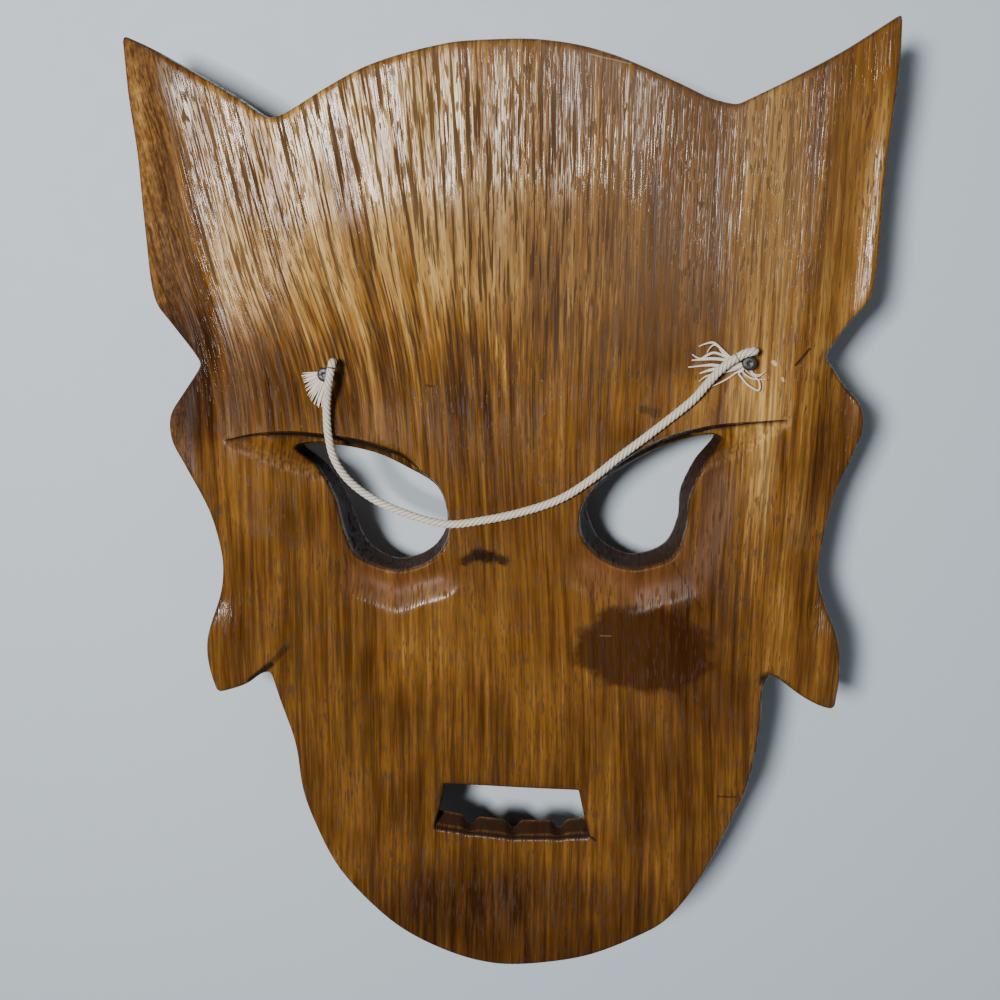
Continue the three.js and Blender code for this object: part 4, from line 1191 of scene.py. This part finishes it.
def steel_finish(nail):
    """Dull dark steel with brown rust in spots."""
    finish = Finish("nail_steel")
    x, y, z = finish.object_place()
    spots = finish.noise(x / 0.8, y / 0.8, z / 0.8, 4.0, 0.6)
    colour = finish.blend(spots.step(0.5, 0.68), (*nail.colour, 1), (*nail.rust, 1))
    finish.set(
        Base_Color=colour,
        Metallic=1.0 - spots.step(0.5, 0.68) * 0.6,
        Roughness=spots * 0.5 + 0.25,
        Normal=finish.relief(spots, 0.00015),
    )
    return finish.material


def setting(name, description, default, **limits):
    limits.setdefault("min", 0)
    return FloatProperty(name=name, description=description, default=default, **limits)


def count_setting(name, description, default, least, most):
    return IntProperty(name=name, description=description, default=default, min=least, max=most)


def length_property(name, description, default):
    return setting(name, description, default, unit="LENGTH", subtype="DISTANCE")


def angle_property(name, description, degrees):
    return FloatProperty(name=name, description=description, default=math.radians(degrees), subtype="ANGLE")


def colour_property(name, description, default):
    return FloatVectorProperty(
        name=name, description=description, default=default, subtype="COLOR", min=0, max=1
    )


class MaskShape(bpy.types.PropertyGroup):
    """Sizes of the mask's fine surface."""

    back_step: length_property("Back step", "Distance between the back's points", 0.00125)
    front_step: length_property("Front step", "Distance between the front's points", 0.0017)
    back_edge: length_property("Back edge", "Radius of the outline's edge on the back", 0.0015)
    front_edge: length_property("Front edge", "Radius of the outline's edge on the front", 0.003)
    eye_edge: length_property("Eye edge", "Radius of the eye holes' edges", 0.0007)
    mouth_edge: length_property("Mouth edge", "Radius of the mouth hole's back edge", 0.0014)
    mouth_top: length_property("Mouth top", "Radius of the rounded strip above the mouth hole", 0.0035)
    waviness: length_property("Waviness", "Height of the carving's slow unevenness", 0.0003)
    flutes: length_property("Flutes", "Height of the knife's upright flutes above the eyes", 0.00016)


class WoodFinish(bpy.types.PropertyGroup):
    """Colours and gloss of the varnished wood."""

    palest: colour_property("Palest", "Palest bands of the wood", (0.66, 0.40, 0.125))
    light: colour_property("Light", "Light bands of the wood", (0.41, 0.215, 0.052))
    middle: colour_property("Middle", "Middle tone of the wood", (0.225, 0.098, 0.016))
    dark: colour_property("Dark", "Dark bands of the wood", (0.10, 0.038, 0.0058))
    darkest: colour_property("Darkest", "Darkest bands of the wood", (0.033, 0.0105, 0.0015))
    # Painted sheen: the greyer colour laid at the upper right.
    grey: colour_property("Grey", "Greyer wood at the upper right", (0.19, 0.105, 0.05))
    pore: colour_property("Pores", "Colour of the open pores", (0.035, 0.013, 0.003))
    red: colour_property("Scoops", "Reddish wood in the scoops", (0.15, 0.048, 0.014))
    stain: colour_property("Stain", "The dark stain on the right cheek", (0.036, 0.0095, 0.001))
    # Colour of the painted shade on the walls of the holes and cuts.
    carved: colour_property("Cut walls", "Stained walls of the holes and cuts", (0.014, 0.0055, 0.003))
    # Colour of the painted shade along the outline's edge and of the sides' dark stain.
    edge: colour_property("Edge dirt", "Dark varnish along the outline", (0.045, 0.018, 0.006))
    # Colour of the dark marks and of the painted shade in uncarved cuts.
    marks_and_cut_shade: colour_property("Burns", "Cracks, chips and burnt spots", (0.012, 0.006, 0.003))
    chip: colour_property("Chips", "Pale chips and paint dots", (0.7, 0.56, 0.4))
    roughness: setting("Roughness", "Roughness of the varnish", 0.20, max=1)
    gloss: setting("Gloss", "Strength of the varnish's reflections", 0.30, max=1)
    relief: length_property("Relief", "Depth of the pores and fibres", 0.0003)


class CordShape(bpy.types.PropertyGroup):
    """Twist and colours of the cotton cord."""

    strands: count_setting("Strands", "Strands that are twisted together", 4, 2, 8)
    lay: length_property("Lay", "Length in which the strands turn once", 0.0068)
    twist: setting("Twist", "1 or -1: which way the strands turn", -1, min=-1, max=1)
    groove: setting("Groove", "Depth of the grooves as a share of the radius", 0.22, max=1)
    fan_strands: count_setting("Fan strands", "Strands in the left end's brush", 26, 3, 60)
    colour: colour_property("Colour", "Unbleached cotton", (0.80, 0.745, 0.63))
    shade: colour_property("Shade", "Grooves and shaded fibres", (0.34, 0.29, 0.22))


class NailShape(bpy.types.PropertyGroup):
    """Colours of the nails."""

    colour: colour_property("Colour", "Dark steel", (0.11, 0.11, 0.115))
    rust: colour_property("Rust", "Brown spots", (0.05, 0.035, 0.025))


class StageSetup(bpy.types.PropertyGroup):
    """Camera, floor and lights."""

    yaw: angle_property("Yaw", "How far the camera stands to the right", 4.5)
    pitch: angle_property("Pitch", "How far it leans towards the crown", 13.5)
    roll: angle_property("Roll", "How far it is turned about its view", -0.5)
    distance: length_property("Distance", "From the camera to the point that it looks at", 0.34296)
    lens: setting("Lens", "Focal length in millimetres on a 36 mm sensor", 39.6, min=1)
    key: setting("Key light", "Power of the key light", 11.5, unit="POWER")
    fill: setting("Fill light", "Power of the fill light", 2.0, unit="POWER")
    sky: setting("Sky", "Strength of the pale surroundings", 0.10)
    floor: colour_property("Floor", "Colour of the floor", (0.61, 0.70, 0.79))


CAMERA_TARGET = (-0.001546, 0.013610, 0.036)
KEY_PLACE = (-0.30, 0.20, 0.92)
FILL_PLACE = (1.2, -1.0, 1.2)
KEY_SIZE, FILL_SIZE = 0.20, 0.9
FLOOR_HALF = 3.0


def look(place, target, name, data):
    """An object at a place with its -Z towards a target."""
    made = bpy.data.objects.new(name, data)
    bpy.context.scene.collection.objects.link(made)
    aim = Vector(target) - Vector(place)
    made.matrix_world = Matrix.Translation(place) @ aim.to_track_quat("-Z", "Y").to_matrix().to_4x4()
    return made


def area_light(name, place, size, power, colour):
    data = bpy.data.lights.new(name, "AREA")
    data.shape = "SQUARE"
    data.size = size
    data.energy = power
    data.color = colour
    look(place, CAMERA_TARGET, name, data)


def add_camera(stage):
    """The camera above the lying mask: back is the direction from the target to it, with the crown up in
    view."""
    yaw, pitch, roll = stage.yaw, stage.pitch, stage.roll
    back = Vector((math.sin(yaw) * math.cos(pitch), math.sin(pitch), math.cos(yaw) * math.cos(pitch)))
    right = Vector((0, 1, 0)).cross(back).normalized()
    up = back.cross(right)
    right, up = right * math.cos(roll) + up * math.sin(roll), up * math.cos(roll) - right * math.sin(roll)
    data = bpy.data.cameras.new("camera")
    data.lens = stage.lens
    data.sensor_width = 36
    data.clip_start, data.clip_end = 0.01, 20
    camera = bpy.data.objects.new("camera", data)
    camera.matrix_world = Matrix.Translation(Vector(CAMERA_TARGET) + back * stage.distance) @ Matrix(
        (right, up, back)
    ).transposed().to_4x4()
    bpy.context.scene.collection.objects.link(camera)
    bpy.context.scene.camera = camera


def finish_floor(colour):
    """A plain pale floor: a faint unevenness in its gloss only."""
    finish = Finish("floor")
    x, y, z = finish.object_place()
    finish.set(Base_Color=(*colour, 1), Roughness=finish.noise(x / 9, y / 9, z) * 0.2 + 0.5)
    return finish.material


class MASK_OT_stage(bpy.types.Operator):
    """Adds the camera, the pale floor and the lights"""

    bl_idname = "mask.stage"
    bl_label = "Add Stage"

    def execute(self, context):
        stage = context.scene.mask_stage
        add_camera(stage)
        area_light("key_light", KEY_PLACE, KEY_SIZE, stage.key, (1.0, 0.985, 0.96))
        area_light("fill_light", FILL_PLACE, FILL_SIZE, stage.fill, (0.93, 0.96, 1.0))
        world = bpy.data.worlds.new("pale_sky")
        world.use_nodes = True
        sky = world.node_tree.nodes["Background"]
        sky.inputs[0].default_value = (0.86, 0.89, 0.95, 1)
        sky.inputs[1].default_value = stage.sky
        context.scene.world = world
        mesh = bpy.data.meshes.new("floor")
        signs = ((-1, -1), (1, -1), (1, 1), (-1, 1))
        mesh.from_pydata([(x * FLOOR_HALF, y * FLOOR_HALF, 0) for x, y in signs], [], [(0, 1, 2, 3)])
        mesh.materials.append(finish_floor(stage.floor))
        floor = bpy.data.objects.new("floor", mesh)
        context.scene.collection.objects.link(floor)
        return {"FINISHED"}


class MASK_OT_cord(bpy.types.Operator):
    """Adds the twisted cotton cord and its two frayed ends"""

    bl_idname = "mask.cord"
    bl_label = "Add Hanging Cord"

    def execute(self, context):
        cord = context.scene.mask_cord
        material = cotton_finish(cord)
        right_paths = [on_back([root, *route], size) for root, route, size in RIGHT_FRAYS]
        for name, fold, paths in (
            ("frayed_left", LEFT_FOLD, fan_paths(cord)),
            ("frayed_right", RIGHT_FOLD, (right_paths, [size for _, _, size in RIGHT_FRAYS])),
        ):
            vertices, faces, lobe, uv, _ = rope(on_back(fold, CORD_DIAMETER), cord, (0, 3.5))
            loose = strands(*paths)
            loose_vertices, loose_faces = merged(loose)
            lobe = np.concatenate([lobe, np.full(len(loose_vertices), 0.9)])
            spread = np.column_stack([loose_vertices[:, 0] * 1.3, loose_vertices[:, 1]])
            uv = np.concatenate([uv, spread])
            vertices, faces = merged([(vertices, faces), (loose_vertices, loose_faces)])
            node = name.replace("frayed", "frayed_end")
            piece = make_piece(name, vertices, faces, [node], {"lobe": lobe}, uv)
            piece.data.materials.append(material)
        route = np.array(CORD_ROUTE) / MM
        vertices, faces, lobe, uv, line = rope(on_back(route, CORD_DIAMETER), cord)
        piece = make_piece("cord", vertices, faces, ["hanging_cord"], {"lobe": lobe}, uv)
        piece.data.materials.append(material)
        path = line * STRETCH * MM
        tuple(path[0])
        return {"FINISHED"}


class MASK_OT_nails(bpy.types.Operator):
    """Adds the two nails"""

    bl_idname = "mask.nails"
    bl_label = "Add Nails"

    def execute(self, context):
        material = steel_finish(context.scene.mask_nail)
        for name, (x, y) in (("nail_left", LEFT_NAIL), ("nail_right", RIGHT_NAIL)):
            vertices, faces = lathe(nail_profile(), 40)
            vertices = vertices + [x, y, float(back_height(np.array(x), np.array(y))) + NAIL_RAISE]
            piece = make_piece(f"{name}_turned", vertices, faces, [name])
            piece.data.materials.append(material)
        return {"FINISHED"}


class MASK_OT_mask(bpy.types.Operator):
    """Adds the carved mask"""

    bl_idname = "mask.mask"
    bl_label = "Add Mask"

    def execute(self, context):
        vertices, faces, layers = mask_surface(context.scene.mask_shape)
        piece = make_piece("mask_carved", vertices, faces, ["mask"], layers)
        piece.data.set_sharp_from_angle(angle=SHARP_ANGLE)
        wood = context.scene.mask_wood
        piece.data.materials.append(wood_finish("carved_wood", wood, marked=False))
        piece.data.materials.append(wood_finish("carved_wood_marked", wood, marked=True))
        middles = vertices[faces].mean(axis=1)
        piece.data.polygons.foreach_set("material_index", near_marks(middles).astype(np.int32))
        return {"FINISHED"}


class MASK_PT_panel(bpy.types.Panel):
    """Lists the mask's settings and the buttons that make its pieces"""

    bl_idname = "MASK_PT_panel"
    bl_label = "Carved Mask"
    bl_space_type = "VIEW_3D"
    bl_region_type = "UI"
    bl_category = "Mask"

    def draw(self, context):
        for operator in OPERATORS:
            self.layout.operator(operator.bl_idname)
        for group in GROUPS:
            box = self.layout.box()
            settings = getattr(context.scene, group)
            for name in settings.bl_rna.properties.keys():
                if name not in {"rna_type", "name"}:
                    box.prop(settings, name)


GROUPS = {
    "mask_shape": MaskShape,
    "mask_wood": WoodFinish,
    "mask_cord": CordShape,
    "mask_nail": NailShape,
    "mask_stage": StageSetup,
}
OPERATORS = [MASK_OT_stage, MASK_OT_cord, MASK_OT_nails, MASK_OT_mask]


def register():
    for group in (*GROUPS.values(), *OPERATORS, MASK_PT_panel):
        bpy.utils.register_class(group)
    for name, group in GROUPS.items():
        setattr(bpy.types.Scene, name, PointerProperty(type=group))


def unregister():
    for name in GROUPS:
        delattr(bpy.types.Scene, name)
    for group in (MASK_PT_panel, *reversed(OPERATORS), *reversed(GROUPS.values())):
        bpy.utils.unregister_class(group)


def main():
    register()
    bpy.ops.mask.stage()
    bpy.ops.mask.cord()
    bpy.ops.mask.nails()
    bpy.ops.mask.mask()


if __name__ == "__main__":
    main()
